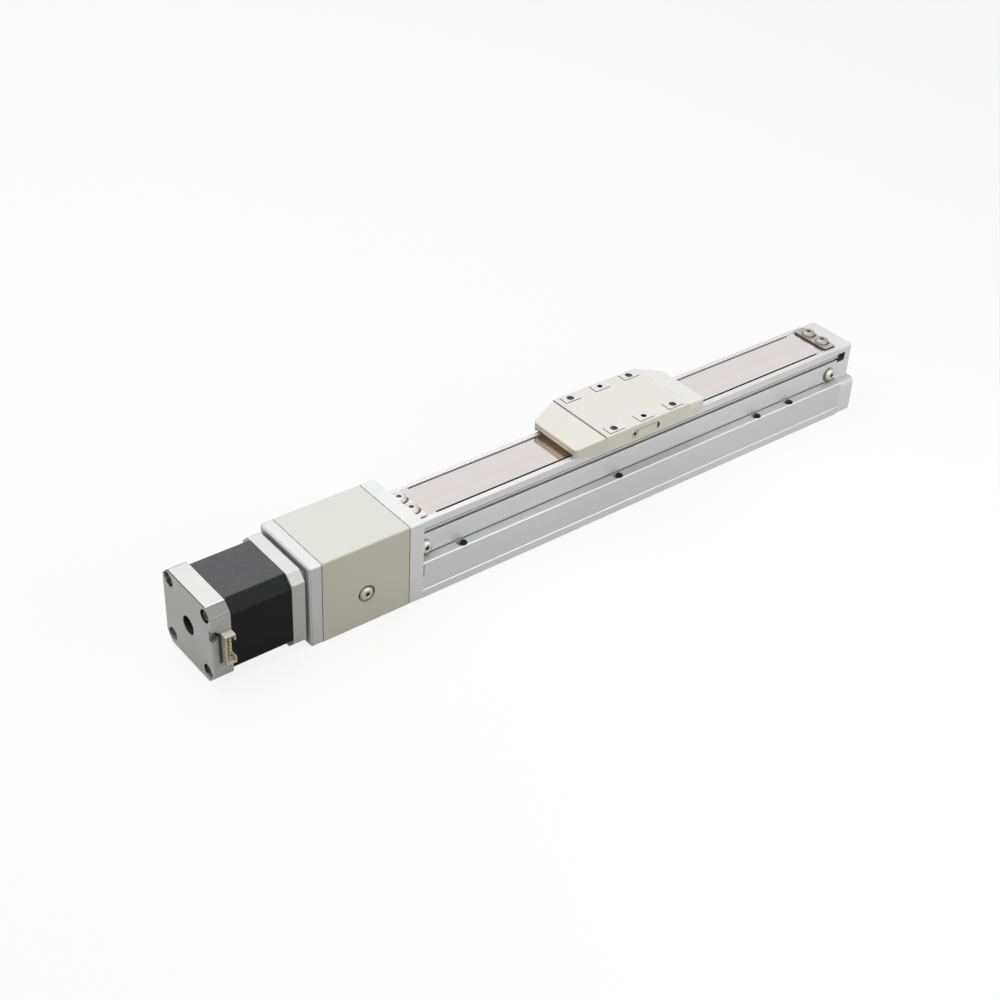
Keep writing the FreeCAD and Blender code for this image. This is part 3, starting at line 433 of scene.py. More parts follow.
def full_length(y_low, z_low, y_high, z_high):
    """Box as long as the body."""
    return (-HALF_LENGTH, y_low, z_low), (HALF_LENGTH, y_high, z_high)


def join_masks(tree, mask, others, strength):
    """A mask together with others of that strength."""
    for other in others:
        mask = add_math(tree, "MAXIMUM", mask, times(tree, other, strength))
    return mask


def make_finish(name, colour, pattern=fine_grain, pattern_values=None, metallic=0.0, roughness=0.4,
                rough_spread=0.06, spread=0.05, depth=0.02, edge=1.0, edge_shade=1.25, grime=1.0,
                specular=0.5, coat=0.0, dust=0.0, top_dust_and_light_colour=None, sheared=0.0, sunk=(), sunk_shade=0.05,
                shadowed=(), clean=(), bright=(), patches=()):
    """Finish whose colour, roughness and relief change over the surface.

    Painted shade darkens the corners and holes, the shade boxes and the shadow balls; the boxes with
    less shade keep little of the corner shade. Painted highlights lighten the edges, together with real
    wear, and the highlight boxes in bright. A patch is a box with a colour of its own or a share of the
    finish's; most patches paint shade or light on their place.
    """
    found = bpy.data.materials.get(name)
    if found:
        return found
    settings = bpy.context.scene.slide_finish
    material = bpy.data.materials.new(name)
    material.use_nodes = True
    tree = material.node_tree
    shader = tree.nodes["Principled BSDF"]
    texture = use_group(tree, pattern, **(pattern_values or {}))
    marks = use_group(tree, handling_marks, Amount=settings.marks)["Mark"]
    wear = settings.edge_wear * edge
    edges = use_group(tree, rubbed_edges, Radius=settings.edge_radius, Amount=wear)["Edge"]
    # Painted shade: darker where ambient occlusion finds little open sky, and in the boxes and balls below
    shade = use_group(tree, corner_grime, Amount=settings.grime * grime)["Grime"]
    for box in clean:
        shade = times(tree, shade, add_span(tree, inside_box(tree, *box), 1.0, SHADE_LEFT))
    shade = join_masks(tree, shade, [inside_box(tree, *box) for box in sunk], SHADE_BOX_SHARE)
    shade = join_masks(tree, shade, [inside_ball(tree, *ball) for ball in shadowed], SHADOWED)
    # Painted highlights in the boxes of bright
    edges = join_masks(tree, edges, [inside_box(tree, *box) for box in bright], HIGHLIGHT_SHARE)
    base = add_tint(tree, texture["Tone"], shaded(colour, 1 - spread), shaded(colour, 1 + spread))
    base = add_tint(tree, marks, base, shaded(colour, 1 - MARKED_SPREAD * spread))
    # Settled specks and painted light from above: faces that look up take a paler colour
    if dust:
        base = add_tint(tree, use_group(tree, settled_dust, Amount=dust)["Dust"], base, top_dust_and_light_colour)
    # Patches, most of which paint shade or light on their place
    for box, tint in patches:
        if not isinstance(tint, tuple):
            tint = shaded(colour, tint)
        base = add_tint(tree, times(tree, inside_box(tree, *box), PATCHED), base, tint)
    # Worn edges with painted highlights, lighter than the colour
    base = add_tint(tree, edges, base, shaded(colour, edge_shade))
    # Painted shade on the upright sides of plates
    if sheared:
        sides = use_group(tree, sheared_sides, Amount=sheared)["Side"]
        base = add_tint(tree, sides, base, shaded(colour, UPRIGHT_SHADE_FACTOR))
    # Painted shade darkens the colour last
    base = add_tint(tree, shade, base, shaded(colour, sunk_shade))
    feed(tree, shader.inputs["Base Color"], base)
    rough = add_span(tree, texture["Tone"], roughness - rough_spread, roughness + rough_spread)
    rough = add_math(tree, "ADD", rough, times(tree, marks, MARKED_ROUGHNESS), clamp=True)
    feed(tree, shader.inputs["Roughness"], rough)
    shader.inputs["Metallic"].default_value = metallic
    shader.inputs["Specular IOR Level"].default_value = specular
    shader.inputs["Coat Weight"].default_value = coat
    relief = add_node(tree, "ShaderNodeBump", Height=texture["Height"], Strength=RELIEF,
                      Distance=depth * MM)
    feed(tree, shader.inputs["Normal"], relief.outputs["Normal"])
    return material


def screw_shadows(node, x_shift, y, radius, z=None, lift=0.0):
    """Balls that lie a little to one side of the screw heads at both ends of a node."""
    low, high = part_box(node)
    if z is None:
        z = (low.z + high.z) / 2 / MM + lift
    places = {round(low.x / MM + BUTTON_HEAD, 2), round(high.x / MM - BUTTON_HEAD, 2)}
    return tuple(((x + x_shift, y, z), radius) for x in sorted(places))


def anodised_drawn():
    # Painted shade: dark foot holes, dark lines in the scribed groove, at the ledge's root and in the joint
    # with the end block, shadows beside the side screws, and a darker ledge top, foot side and sensor slot.
    # Painted highlights along the edges of the ledge, foot and slot. The mouth and the upper walls keep
    # little corner shade.
    foot_holes = full_length(15.15, 0.4, 20.45, 20.35)
    scribed_line = full_length(14.5, 34.9, 14.95, 35.5)
    ledge_root = full_length(14.9, 20.6, 15.3, 20.95)
    block_joint_low = ((-145.2, 20.2, 0), (-144.3, 21, 3.6))
    block_joint_high = ((-145.2, 20.2, 12.8), (-144.3, 21, 19.5))
    mouth = full_length(0, 0, 12.7, 41)
    upper_walls = full_length(12.7, 20.4, 20.3, 41)
    ledge_edge = full_length(20.2, 20.2, 21, 20.9)
    foot_edge = full_length(20.7, 4.35, 21, 4.8)
    slot_edge = full_length(14.9, 31.95, 15.1, 32.4)
    ledge_top = full_length(15.3, 20.4, 20.2, 20.85)
    foot_side = full_length(20.6, 4.85, 20.85, 20.1)
    sensor_slot = full_length(12.7, 31.6, 14.7, 34.85)
    return make_finish(
        "anodised_drawn", chosen("anodised"), drawn_lines, metallic=0.35, roughness=0.48, spread=0.035,
        depth=0.006, edge_shade=1.38, sunk_shade=0.14,
        sunk=(foot_holes, scribed_line, ledge_root, block_joint_low, block_joint_high),
        shadowed=screw_shadows("body_side_screws", -0.8, 15.0, 4.3), clean=(mouth, upper_walls),
        bright=(ledge_edge, foot_edge, slot_edge),
        patches=((ledge_top, 0.82), (foot_side, 0.93), (sensor_slot, 0.55)))


def anodised_blasted():
    # Painted shade behind the motor, in the groove behind the flange and on the plate's sides and top;
    # little corner shade on the plate's rear face
    behind_motor = ((-211, 0, 2.5), (-209.5, 20.7, 44.0))
    plate_rear = ((-208.4, 0, -1), (-208.1, 21.2, 46))
    groove = ((-209.5, 0, 2.5), (-208.15, 18.4, 43.1))
    plate_side = ((-208.3, 20.8, -1), (-201.7, 21.2, 45.3))
    plate_top = ((-207.2, 0, 45.3), (-201.5, 20.2, 45.7))
    return make_finish(
        "anodised_blasted", chosen("anodised"), metallic=0.35, roughness=0.42, spread=0.03, depth=0.01,
        sunk=(behind_motor,), clean=(plate_rear,),
        patches=((groove, 0.3), (plate_side, 0.8), (plate_top, 0.89)))


def blasted_cap():
    # Painted shade in the cap's hollow under the foot and in the slot pocket, and a darker ledge top
    foot_inside = ((131, 14.2, 3), (155.6, 20.4, 17.6))
    slot_pocket = ((145.05, 10.8, 30.7), (151.3, 14.8, 36.4))
    ledge_top = ((145, 15.1, 20.0), (156.1, 21, 21.4))
    return make_finish(
        "blasted_cap", shaded(chosen("anodised"), 1.04), metallic=0.3, roughness=0.45, spread=0.03,
        depth=0.01, edge=0.4, sunk=(foot_inside, slot_pocket), sunk_shade=0.15,
        patches=((ledge_top, 0.8),))


def milled_aluminium():
    return make_finish(
        "milled_aluminium", (0.80, 0.81, 0.82), drawn_lines, {"Along": 40.0, "Across": 3000.0},
        metallic=0.5, roughness=0.28, spread=0.06, depth=0.008)


def machined_caps():
    # Painted shade inside the rear cap's pockets and holes, in the wire notch and as dark lines along the
    # rear face's top edge and the corner facet's edges; the sides of the cap and flange, the corner facet
    # and the wire notch are painted darker
    inside = ((-258.3, 0, 4.7), (-248.7, 18.5, 41.7))
    notch_top = ((-258.5, 18.5, 32.2), (-255.1, 20.8, 33.2))
    rear_top_edge = ((-258.7, 0, 43.8), (-258.25, 16.6, 44.3))
    facet_top_edge = ((-258.7, 16.5, 43.85), (-248.7, 16.8, 44.3))
    facet_low_edge = ((-258.7, 20.65, 39.65), (-248.7, 21.1, 39.95))
    sides = ((-259, 20.8, 2), (-210, 21.1, 44))
    corner_facet = ((-259, 16.75, 39.95), (-248.7, 20.85, 44.05))
    wire_notch = ((-258.5, 18.5, 27.0), (-255.1, 20.8, 32.3))
    return make_finish(
        "machined_caps", chosen("cast"), metallic=0.3, roughness=0.38, pattern_values={"Scale": 1100.0},
        spread=0.08, sunk=(inside, notch_top, rear_top_edge, facet_top_edge, facet_low_edge),
        patches=((sides, 0.72), (corner_facet, 0.38), (wire_notch, 0.4)))


def stack_paint():
    # The greyer tops of the black stack are settled specks together with a painted sheen from above
    return make_finish(
        "stack_paint", chosen("stack"), turned_rings, {"Pitch": 2000.0}, roughness=0.36, spread=0.12,
        depth=0.008, edge=0.3, edge_shade=2.0, specular=0.09, dust=0.33, top_dust_and_light_colour=(0.3, 0.3, 0.31))


def moulded_plastic(name, colour, top_dust_and_light_colour, **places):
    """Fine-grained moulding whose upward faces are paler, from settled specks and painted light."""
    return make_finish(
        name, colour, pattern_values={"Scale": 3200.0}, roughness=0.46, spread=0.012, depth=0.012,
        edge=0.6, edge_shade=1.04, specular=0.4, dust=0.6, top_dust_and_light_colour=top_dust_and_light_colour, **places)


def cover_plastic():
    # Painted shadows beside the cover screws, painted light that makes the tops paler, and little corner
    # shade at the edge next to the plate
    rear_edge = ((-203, 0, 43.6), (-200, 22, 46))
    return moulded_plastic(
        "cover_plastic", chosen("cover"), (0.757, 0.759, 0.748), clean=(rear_edge,),
        shadowed=screw_shadows("coupling_cover_screws", -0.5, 21.0, 3.95, lift=0.4))


def table_plastic():
    # The table's covers take the cover colour made 7 % paler: painted light. Painted shade in the recess's
    # end, beside the grease port, in the cover joint and under the recess's top edge; painted light on the
    # far slope. The sides keep little corner shade.
    colour = chosen("cover")
    recess_end = ((1.7, 20.3, 43.0), (2.8, 21.1, 47.7))
    port_seat = ((-13.45, 20.4, 45.3), 2.35)
    sides = ((-60, 20.4, 40), (60, 26, 49.9))
    wiper_lip = ((-50, 0, 43.9), (-49.3, 15.5, 45.0))
    cover_joint = ((-33.95, 0, 49.9), (-33.25, 20.9, 50.72))
    recess_top = ((-11.6, 20.3, 46.4), (2.0, 20.5, 47.75))
    far_slope = ((23.1, 0, 45.0), (39.2, 20.4, 50.75))
    return moulded_plastic(
        "table_plastic", shaded(colour, 1.07), (0.81, 0.81, 0.78), sunk_shade=0.12,
        sunk=(recess_end,), shadowed=(port_seat,), clean=(sides,),
        patches=((wiper_lip, (0.62, 0.47, 0.35)), (cover_joint, shaded(colour, 0.4)),
                 (recess_top, shaded(colour, 0.5)), (far_slope, (0.87, 0.87, 0.83))))


def table_pads():
    # Painted shade in the holes and on the pads' sides below their tops
    below_tops = full_length(0, 30, 25, 51.06)
    return make_finish(
        "table_pads", (0.74, 0.74, 0.72), drawn_lines, {"Along": 40.0, "Across": 3000.0}, metallic=0.2,
        roughness=0.4, spread=0.03, depth=0.006, edge_shade=1.1, sunk=(below_tops,))


def cut_threads():
    # Near black, so the threads inside the tapped holes show as shaded: painted shade
    return make_finish(
        "cut_threads", (0.1, 0.1, 0.105), turned_rings, metallic=0.7, roughness=0.27, spread=0.15,
        depth=0.006)


def belt_strip():
    return make_finish(
        "belt_strip", chosen("belt"), drawn_lines, {"Along": 3.0, "Across": 4000.0}, metallic=1.0,
        roughness=0.09, spread=0.03, depth=0.001, rough_spread=0.03, edge_shade=1.1, grime=0.2)


def plated_screw():
    # Painted shade in the screws' sockets, and darker cover and body-side heads: painted shade
    socket_depth = 0.7
    socket_radius = 1.25
    shaded_sockets = ()
    for node in ("body_side_screws", "coupling_cover_screws"):
        shaded_sockets += screw_shadows(node, 0.0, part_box(node)[1].y / MM - socket_depth, socket_radius)
    cover_heads = ((-195, 15, 5), (-160, 26, 42))
    body_heads = full_length(14, 20, 19, 30)
    return make_finish(
        "plated_screw", chosen("plated"), metallic=0.85, roughness=0.44, depth=0.004, edge_shade=1.3,
        shadowed=shaded_sockets, patches=((cover_heads, 0.72), (body_heads, 0.85)))


def clamp_screw():
    # A darker copy of the plated colour, and darker still at the far end: painted shade
    colour = chosen("plated")
    far_heads = ((120, 0, 38), (150, 12, 46))
    return make_finish(
        "clamp_screw", shaded(colour, 0.82), metallic=0.8, roughness=0.5, depth=0.004, edge_shade=1.3,
        patches=((far_heads, shaded(colour, 0.5)),))


def clamp_plate(name, colour, **values):
    """Plate with painted shadows a little to one side of the clamp screws' heads."""
    shadows = screw_shadows("belt_clamp_screws", 0.6, 5.1, 4.2, 41.0)
    return make_finish(name, colour, shadowed=shadows, **values)


def plated_plate():
    # Painted shade on the plate's upright sides
    return clamp_plate(
        "plated_plate", shaded(chosen("plated"), 0.72), metallic=0.9, roughness=0.32, depth=0.005,
        edge_shade=1.3, sheared=0.95)


def polished_plate():
    # Painted shade on the plate's upright sides
    return clamp_plate(
        "polished_plate", shaded(chosen("belt"), 1.1), metallic=0.8, roughness=0.2, spread=0.04,
        depth=0.003, edge_shade=1.2, sheared=0.6)


def dark_plated():
    # Edges far lighter than the near-black colour: painted glints
    return make_finish(
        "dark_plated", (0.06, 0.06, 0.062), metallic=0.9, roughness=0.35, spread=0.15, depth=0.006,
        edge_shade=2.5)


def ground_steel():
    return make_finish(
        "ground_steel", (0.56, 0.57, 0.58), turned_rings, metallic=1.0, roughness=0.2, depth=0.004)


def ground_rail():
    return make_finish(
        "ground_rail", (0.56, 0.57, 0.58), drawn_lines, metallic=1.0, roughness=0.2, depth=0.004)


def oiled_steel():
    return make_finish(
        "oiled_steel", (0.035, 0.034, 0.033), metallic=0.6, roughness=0.4, spread=0.2, depth=0.006,
        specular=0.2)


def bumper_rubber():
    return make_finish(
        "bumper_rubber", (0.02, 0.02, 0.02), roughness=0.75, spread=0.15, depth=0.03, edge=0.2)


def spider_polyurethane():
    return make_finish(
        "spider_polyurethane", (0.40, 0.02, 0.015), roughness=0.4, spread=0.06, depth=0.01, edge=0.2)


def wiper_felt():
    # Two dark lines and a paler upper band across the wiper's face
    upper_dark_line = ((-60, 0, 42.2), (60, 15, 42.6))
    lower_dark_line = ((-60, 0, 40.9), (60, 15, 41.3))
    upper_pale_band = ((-60, 0, 42.9), (60, 15, 44.1))
    return make_finish(
        "wiper_felt", (0.42, 0.28, 0.16), roughness=0.8, pattern_values={"Scale": 1500.0}, spread=0.2,
        depth=0.08, edge=0.3, grime=0.3, specular=0.2, sunk=(upper_dark_line, lower_dark_line), sunk_shade=0.3,
        patches=((upper_pale_band, (0.75, 0.58, 0.42)),))


def copper_wire():
    return make_finish(
        "copper_wire", (0.48, 0.17, 0.07), drawn_lines, {"Along": 20.0, "Across": 4500.0}, metallic=1.0,
        roughness=0.3, spread=0.2, depth=0.06)


def turned_brass():
    low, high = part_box("grease_port")
    # Painted shade in the port's bore
    bore = ((low.x + high.x) / 2 / MM, -low.y / MM, (low.z + high.z) / 2 / MM)
    bore_radius = 1.1
    return make_finish(
        "turned_brass", (0.60, 0.46, 0.34), metallic=0.4, roughness=0.35, spread=0.08, depth=0.006,
        shadowed=((bore, bore_radius),))


def gilded_pins():
    return make_finish(
        "gilded_pins", (0.80, 0.64, 0.40), metallic=0.7, roughness=0.3, spread=0.06, depth=0.004,
        grime=0.2)


def connector_nylon():
    return make_finish(
        "connector_nylon", (0.76, 0.72, 0.61), roughness=0.42, spread=0.03, depth=0.008, edge_shade=1.1,
        grime=0.35)


def board_lacquer():
    return make_finish(
        "board_lacquer", (0.012, 0.07, 0.03), roughness=0.3, spread=0.12, depth=0.004, coat=0.4)


def break_edges(node, width):
    """Small rounded edges, so that neighbouring pieces show their joint."""
    weld = node.modifiers.new("weld", "WELD")
    weld.merge_threshold = 0.001 * MM
    flat = node.modifiers.new("flat_faces", "DECIMATE")
    flat.decimate_type = "DISSOLVE"
    flat.angle_limit = math.radians(0.5)
    bevel = node.modifiers.new("broken_edges", "BEVEL")
    bevel.width = width
    bevel.segments = 2
    bevel.limit_method = "ANGLE"
    bevel.angle_limit = math.radians(40.0)
    even = node.modifiers.new("even_shading", "WEIGHTED_NORMAL")
    even.mode = "FACE_AREA"
    even.weight = 80
    even.keep_sharp = True


def dress(finishes, edges=0.0):
    """Give construction pieces their finish, and break their edges by a share of the edge break."""
    width = bpy.context.scene.slide_size.edge_break * edges
    for maker, names in finishes.items():
        for name in names:
            node = frame["nodes"][name]
            node.data.materials.clear()
            node.data.materials.append(maker())
            if width:
                break_edges(node, width)


# Meshes of turned pieces


def outline(reach_at, steps):
    """Closed outline from a reach at each angle."""
    angles = [math.tau * k / steps for k in range(steps)]
    return [(reach_at(a) * math.cos(a), reach_at(a) * math.sin(a)) for a in angles]


def round_line(radius, steps):
    return outline(lambda angle: radius, steps)


def hexagon_line(flat, steps):
    """Hexagon with that distance from its middle to a flat."""
    sector = math.pi / 3
    return outline(lambda angle: flat / math.cos((angle + sector / 2) % sector - sector / 2), steps)


def cross_line(arm, half, steps):
    """Cross-shaped recess with four arms of that reach and half width."""
    quarter = math.pi / 2

    def reach_at(angle):
        turn = (angle + quarter / 2) % quarter - quarter / 2
        return min(arm / math.cos(turn), half / max(abs(math.sin(turn)), 1e-6))

    return outline(reach_at, steps)


def knurled_line(radius, depth, count, steps):
    return outline(lambda angle: radius - depth * abs(math.sin(count * angle / 2)), steps)


def join_rows(mesh, rows):
    """Closed shape through rows of corners, with a face at each end."""
    for below, above in zip(rows, rows[1:]):
        for k in range(len(below)):
            j = (k + 1) % len(below)
            mesh.faces.new((below[k], below[j], above[j], above[k]))
    mesh.faces.new(list(reversed(rows[0])))
    mesh.faces.new(rows[-1])


def add_turned(mesh, rings, place):
    """Closed shape through (height, outline) rings, set in place by a matrix."""
    join_rows(mesh, [[mesh.verts.new(place @ Vector((x, y, height))) for x, y in ring]
                     for height, ring in rings])


def inset(low, high, margin):
    """Both ends of a span, moved in by a margin."""
    return low + margin, high - margin


def looking(seat, way):
    """Matrix that stands a turned piece on its seat, looking along a way."""
    return Matrix.Translation(seat) @ Vector(way).to_track_quat("Z", "Y").to_matrix().to_4x4()


def add_object(name, data):
    made = bpy.data.objects.new(name, data)
    bpy.context.scene.collection.objects.link(made)
    return made


def add_piece(name, mesh, body, material, stands_for=None):
    """New piece from a mesh in the making, with its body and finish."""
    data = bpy.data.meshes.new(name)
    bmesh.ops.recalc_face_normals(mesh, faces=mesh.faces)
    mesh.to_mesh(data)
    mesh.free()
    data.shade_smooth()
    data.set_sharp_from_angle(angle=math.radians(35.0))
    data.materials.append(material)
    piece = add_object(name, data)
    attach(piece, body)
    if stands_for:
        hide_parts(stands_for)


def add_corner_screws(node, rings, head, seat, way):
    """Dark screws at the four corners of a construction piece, looking along X."""
    low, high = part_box(node)
    mesh = bmesh.new()
    for y in inset(low.y, high.y, head):
        for z in inset(low.z, high.z, head):
            add_turned(mesh, rings, looking((seat, y, z), (way, 0, 0)))
    add_piece(node + "_made", mesh, BODY, dark_plated(), node)


def shank_rings(shank, length, steps):
    """Shank of a screw with a chamfered end."""
    chamfer = 0.14 * shank
    return [
        (-length, round_line(shank - chamfer, steps)),
        (-length + chamfer, round_line(shank, steps)),
        (0.0, round_line(shank, steps)),
    ]


def socket_rings(top, floor, flat, steps):
    """Hexagon socket from the top of a head down to its floor."""
    lead_in = 0.12 * MM
    mouth = 1.22 * flat
    drill_point = 0.3 * MM
    drill_tip = 0.15 * flat
    return [
        (top, round_line(mouth, steps)),
        (top - lead_in, hexagon_line(flat, steps)),
        (floor, hexagon_line(flat, steps)),
        (floor - drill_point, round_line(drill_tip, steps)),
    ]


def dome_rings(head, tall, steps, crown, rim):
    """Rounded head from its rim up to its flat crown, given as shares of its size."""
    chamfer = 0.12 * MM
    dome_steps = 8
    rings = [(0.0, round_line(head - chamfer, steps)), (chamfer, round_line(head, steps))]
    for k in range(dome_steps + 1):
        turn = math.radians(90.0 * k / dome_steps)
        reach = head * (crown + (1 - crown) * math.cos(turn))
        rings.append((tall * (rim + (1 - rim) * math.sin(turn)), round_line(reach, steps)))
    return rings


def button_rings(head, tall, shank, length, flat, steps):
    """Button-head screw with a hexagon socket."""
    floor = 0.35 * tall
    return (shank_rings(shank, length, steps) + dome_rings(head, tall, steps, crown=0.52, rim=0.18)
            + socket_rings(tall, floor, flat, steps))


def pan_rings(head, tall, shank, length, steps):
    """Pan-head screw with a cross recess."""
    return shank_rings(shank, length, steps) + dome_rings(head, tall, steps, crown=0.62, rim=0.4) + [
        (tall, cross_line(1.55 * MM, 0.36 * MM, steps)),
        (0.55 * tall, cross_line(1.25 * MM, 0.28 * MM, steps)),
        (0.3 * tall, cross_line(0.5 * MM, 0.2 * MM, steps)),
    ]


def cap_rings(head, tall, shank, length, flat, knurls):
    """Socket-head cap screw with a knurled head."""
    steps = 4 * knurls
    knurl_depth = 0.09 * MM
    floor = 0.5 * tall
    knurled = knurled_line(head, knurl_depth, knurls, steps)
    return shank_rings(shank, length, steps) + [
        (0.0, round_line(head - 0.2 * MM, steps)),
        (0.12 * MM, knurled),
        (tall - 0.34 * MM, knurled),
        (tall - 0.28 * MM, round_line(head - 0.1 * MM, steps)),
        (tall - 0.1 * MM, round_line(head - 0.16 * MM, steps)),
        (tall, round_line(head - 0.3 * MM, steps)),
    ] + socket_rings(tall, floor, flat, steps)


# Operators, one for each group of like pieces


class SLIDE_OT_body(Operator):
    """Finish the drawn body, its end block, far cap, rails and bumpers"""

    bl_idname = "slide.body"
    bl_label = "Body"

    def execute(self, context):
        dress({anodised_drawn: ("base_extrusion",)}, edges=0.7)
        dress({anodised_blasted: ("motor_end_block",), blasted_cap: ("far_end_cap",)}, edges=1.5)
        dress({ground_rail: ("guide_rail_left", "guide_rail_right"),
               bumper_rubber: ("bumper_motor_end", "bumper_far_end")})
        return {"FINISHED"}


class SLIDE_OT_housing(Operator):
    """Finish the coupling cover, its bracket and the motor's adaptor plate"""

    bl_idname = "slide.housing"
    bl_label = "Coupling housing"

    def execute(self, context):
        dress({cover_plastic: ("coupling_cover",), anodised_blasted: ("motor_adaptor_plate",)}, edges=0.4)
        dress({anodised_blasted: ("coupling_bracket",)})
        return {"FINISHED"}


class SLIDE_OT_motor(Operator):
    """Finish the stepper motor and what turns inside it"""

    bl_idname = "slide.motor"
    bl_label = "Motor"

    def execute(self, context):
        dress({machined_caps: ("motor_rear_cap", "motor_front_flange"),
               stack_paint: ("motor_stack",)}, edges=1.0)
        dress({copper_wire: ("motor_windings",),
               dark_plated: ("motor_mount_screws",),
               oiled_steel: ("motor_shaft", "motor_bearing_inner_rings", "motor_bearing_outer_rings"),
               ground_steel: ("motor_rotor",)})
        return {"FINISHED"}


class SLIDE_OT_connector(Operator):
    """Finish the motor's connector"""

    bl_idname = "slide.connector"
    bl_label = "Connector"

    def execute(self, context):
        dress({connector_nylon: ("connector_shell",), gilded_pins: ("connector_pins",),
               board_lacquer: ("connector_board",)}, edges=0.5)
        return {"FINISHED"}


class SLIDE_OT_belt(Operator):
    """Finish the steel belt and its clamp plates"""

    bl_idname = "slide.belt"
    bl_label = "Belt and clamps"

    def execute(self, context):
        dress({belt_strip: ("steel_belt",)})
        dress({polished_plate: ("belt_clamp_motor_end",), plated_plate: ("belt_clamp_far_end",)}, edges=0.5)
        return {"FINISHED"}


class SLIDE_OT_table(Operator):
    """Finish the table's covers, plate, wipers and grease port"""

    bl_idname = "slide.table"
    bl_label = "Table"

    def execute(self, context):
        dress({table_plastic: ("table_cover", "table_end_cover_motor", "table_end_cover_far"),
               table_pads: ("table_plate",)}, edges=0.7)
        dress({wiper_felt: ("belt_wiper_motor", "belt_wiper_far", "guide_end_caps"),
               turned_brass: ("grease_port",),
               milled_aluminium: ("carriage_block",),
               ground_rail: ("guide_block_left", "guide_block_right"),
               ground_steel: ("ball_nut",),
               dark_plated: ("ball_nut_screws", "table_plate_screws")})
        return {"FINISHED"}


class SLIDE_OT_drive(Operator):
    """Finish the bearings, the lock nut and the shaft coupling"""

    bl_idname = "slide.drive"
    bl_label = "Bearings and coupling"

    def execute(self, context):
        dress({milled_aluminium: ("bearing_retainer", "coupling_hub_motor_side",
                                  "coupling_hub_screw_side"),
               spider_polyurethane: ("coupling_spider",),
               dark_plated: ("end_block_screws", "retainer_screws", "coupling_clamp_screws",
                             "bearing_lock_nut"),
               ground_steel: ("fixed_bearing_inner_rings", "fixed_bearing_outer_rings",
                              "support_bearing_inner_ring", "support_bearing_outer_ring")})
        return {"FINISHED"}


class SLIDE_OT_button_screws(Operator):
    """Make the button-head screws of the belt clamps, body sides and cover"""

    bl_idname = "slide.button_screws"
    bl_label = "Button screws"

    shank = 1.95 * MM
    head = 1.9 * shank
    tall = 1.1 * shank
    flat = 1.15 * MM
    side_length = 4.0 * MM

    def execute(self, context):
        self.steps = context.scene.slide_size.round_steps
        low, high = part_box("belt_clamp_screws")
        seats = [((x, y, high.z - self.tall), (0, 0, 1)) for x in inset(low.x, high.x, self.head)
                 for y in inset(low.y, high.y, self.head)]
        self.make("belt_clamp_screws", seats, high.z - low.z - self.tall, clamp_screw())
        low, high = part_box("body_side_screws")
        self.make_sides("body_side_screws", low, high, inset(low.x, high.x, self.head))
        low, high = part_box("coupling_cover_screws")
        self.make_sides("coupling_cover_screws", low, high, ((low.x + high.x) / 2,))
        return {"FINISHED"}

    def make_sides(self, node, low, high, along):
        """Screws that look out of both sides."""
        z = (low.z + high.z) / 2
        sides = ((low.y + self.tall, -1), (high.y - self.tall, 1))
        seats = [((x, y, z), (0, way, 0)) for x in along for y, way in sides]
        self.make(node, seats, self.side_length, plated_screw())

    def make(self, node, seats, length, finish):
        mesh = bmesh.new()
        rings = button_rings(self.head, self.tall, self.shank, length, self.flat, self.steps)
        for seat, way in seats:
            add_turned(mesh, rings, looking(seat, way))
        add_piece(node + "_made", mesh, BODY, finish, node)


class SLIDE_OT_tie_screws(Operator):
    """Make the motor's cross-recessed tie screws"""

    bl_idname = "slide.tie_screws"
    bl_label = "Motor tie screws"

    shank = 1.45 * MM
    head = 1.85 * shank
    tall = 1.7 * MM

    def execute(self, context):
        low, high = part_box("motor_tie_screws")
        steps = context.scene.slide_size.round_steps
        rings = pan_rings(self.head, self.tall, self.shank, high.x - low.x - self.tall, steps)
        add_corner_screws("motor_tie_screws", rings, self.head, low.x + self.tall, -1)
        return {"FINISHED"}


class SLIDE_OT_cap_screws(Operator):
    """Make the knurled cap screws of the far end cap"""

    bl_idname = "slide.cap_screws"
    bl_label = "End cap screws"

    shank = 1.45 * MM
    head = 1.85 * shank
    tall = 2.75 * MM
    flat = 1.2 * MM

    def execute(self, context):
        low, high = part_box("far_cap_screws")
        rings = cap_rings(self.head, self.tall, self.shank, high.x - low.x - self.tall, self.flat,
                          context.scene.slide_size.knurls)
        add_corner_screws("far_cap_screws", rings, self.head, high.x - self.tall, 1)
        return {"FINISHED"}


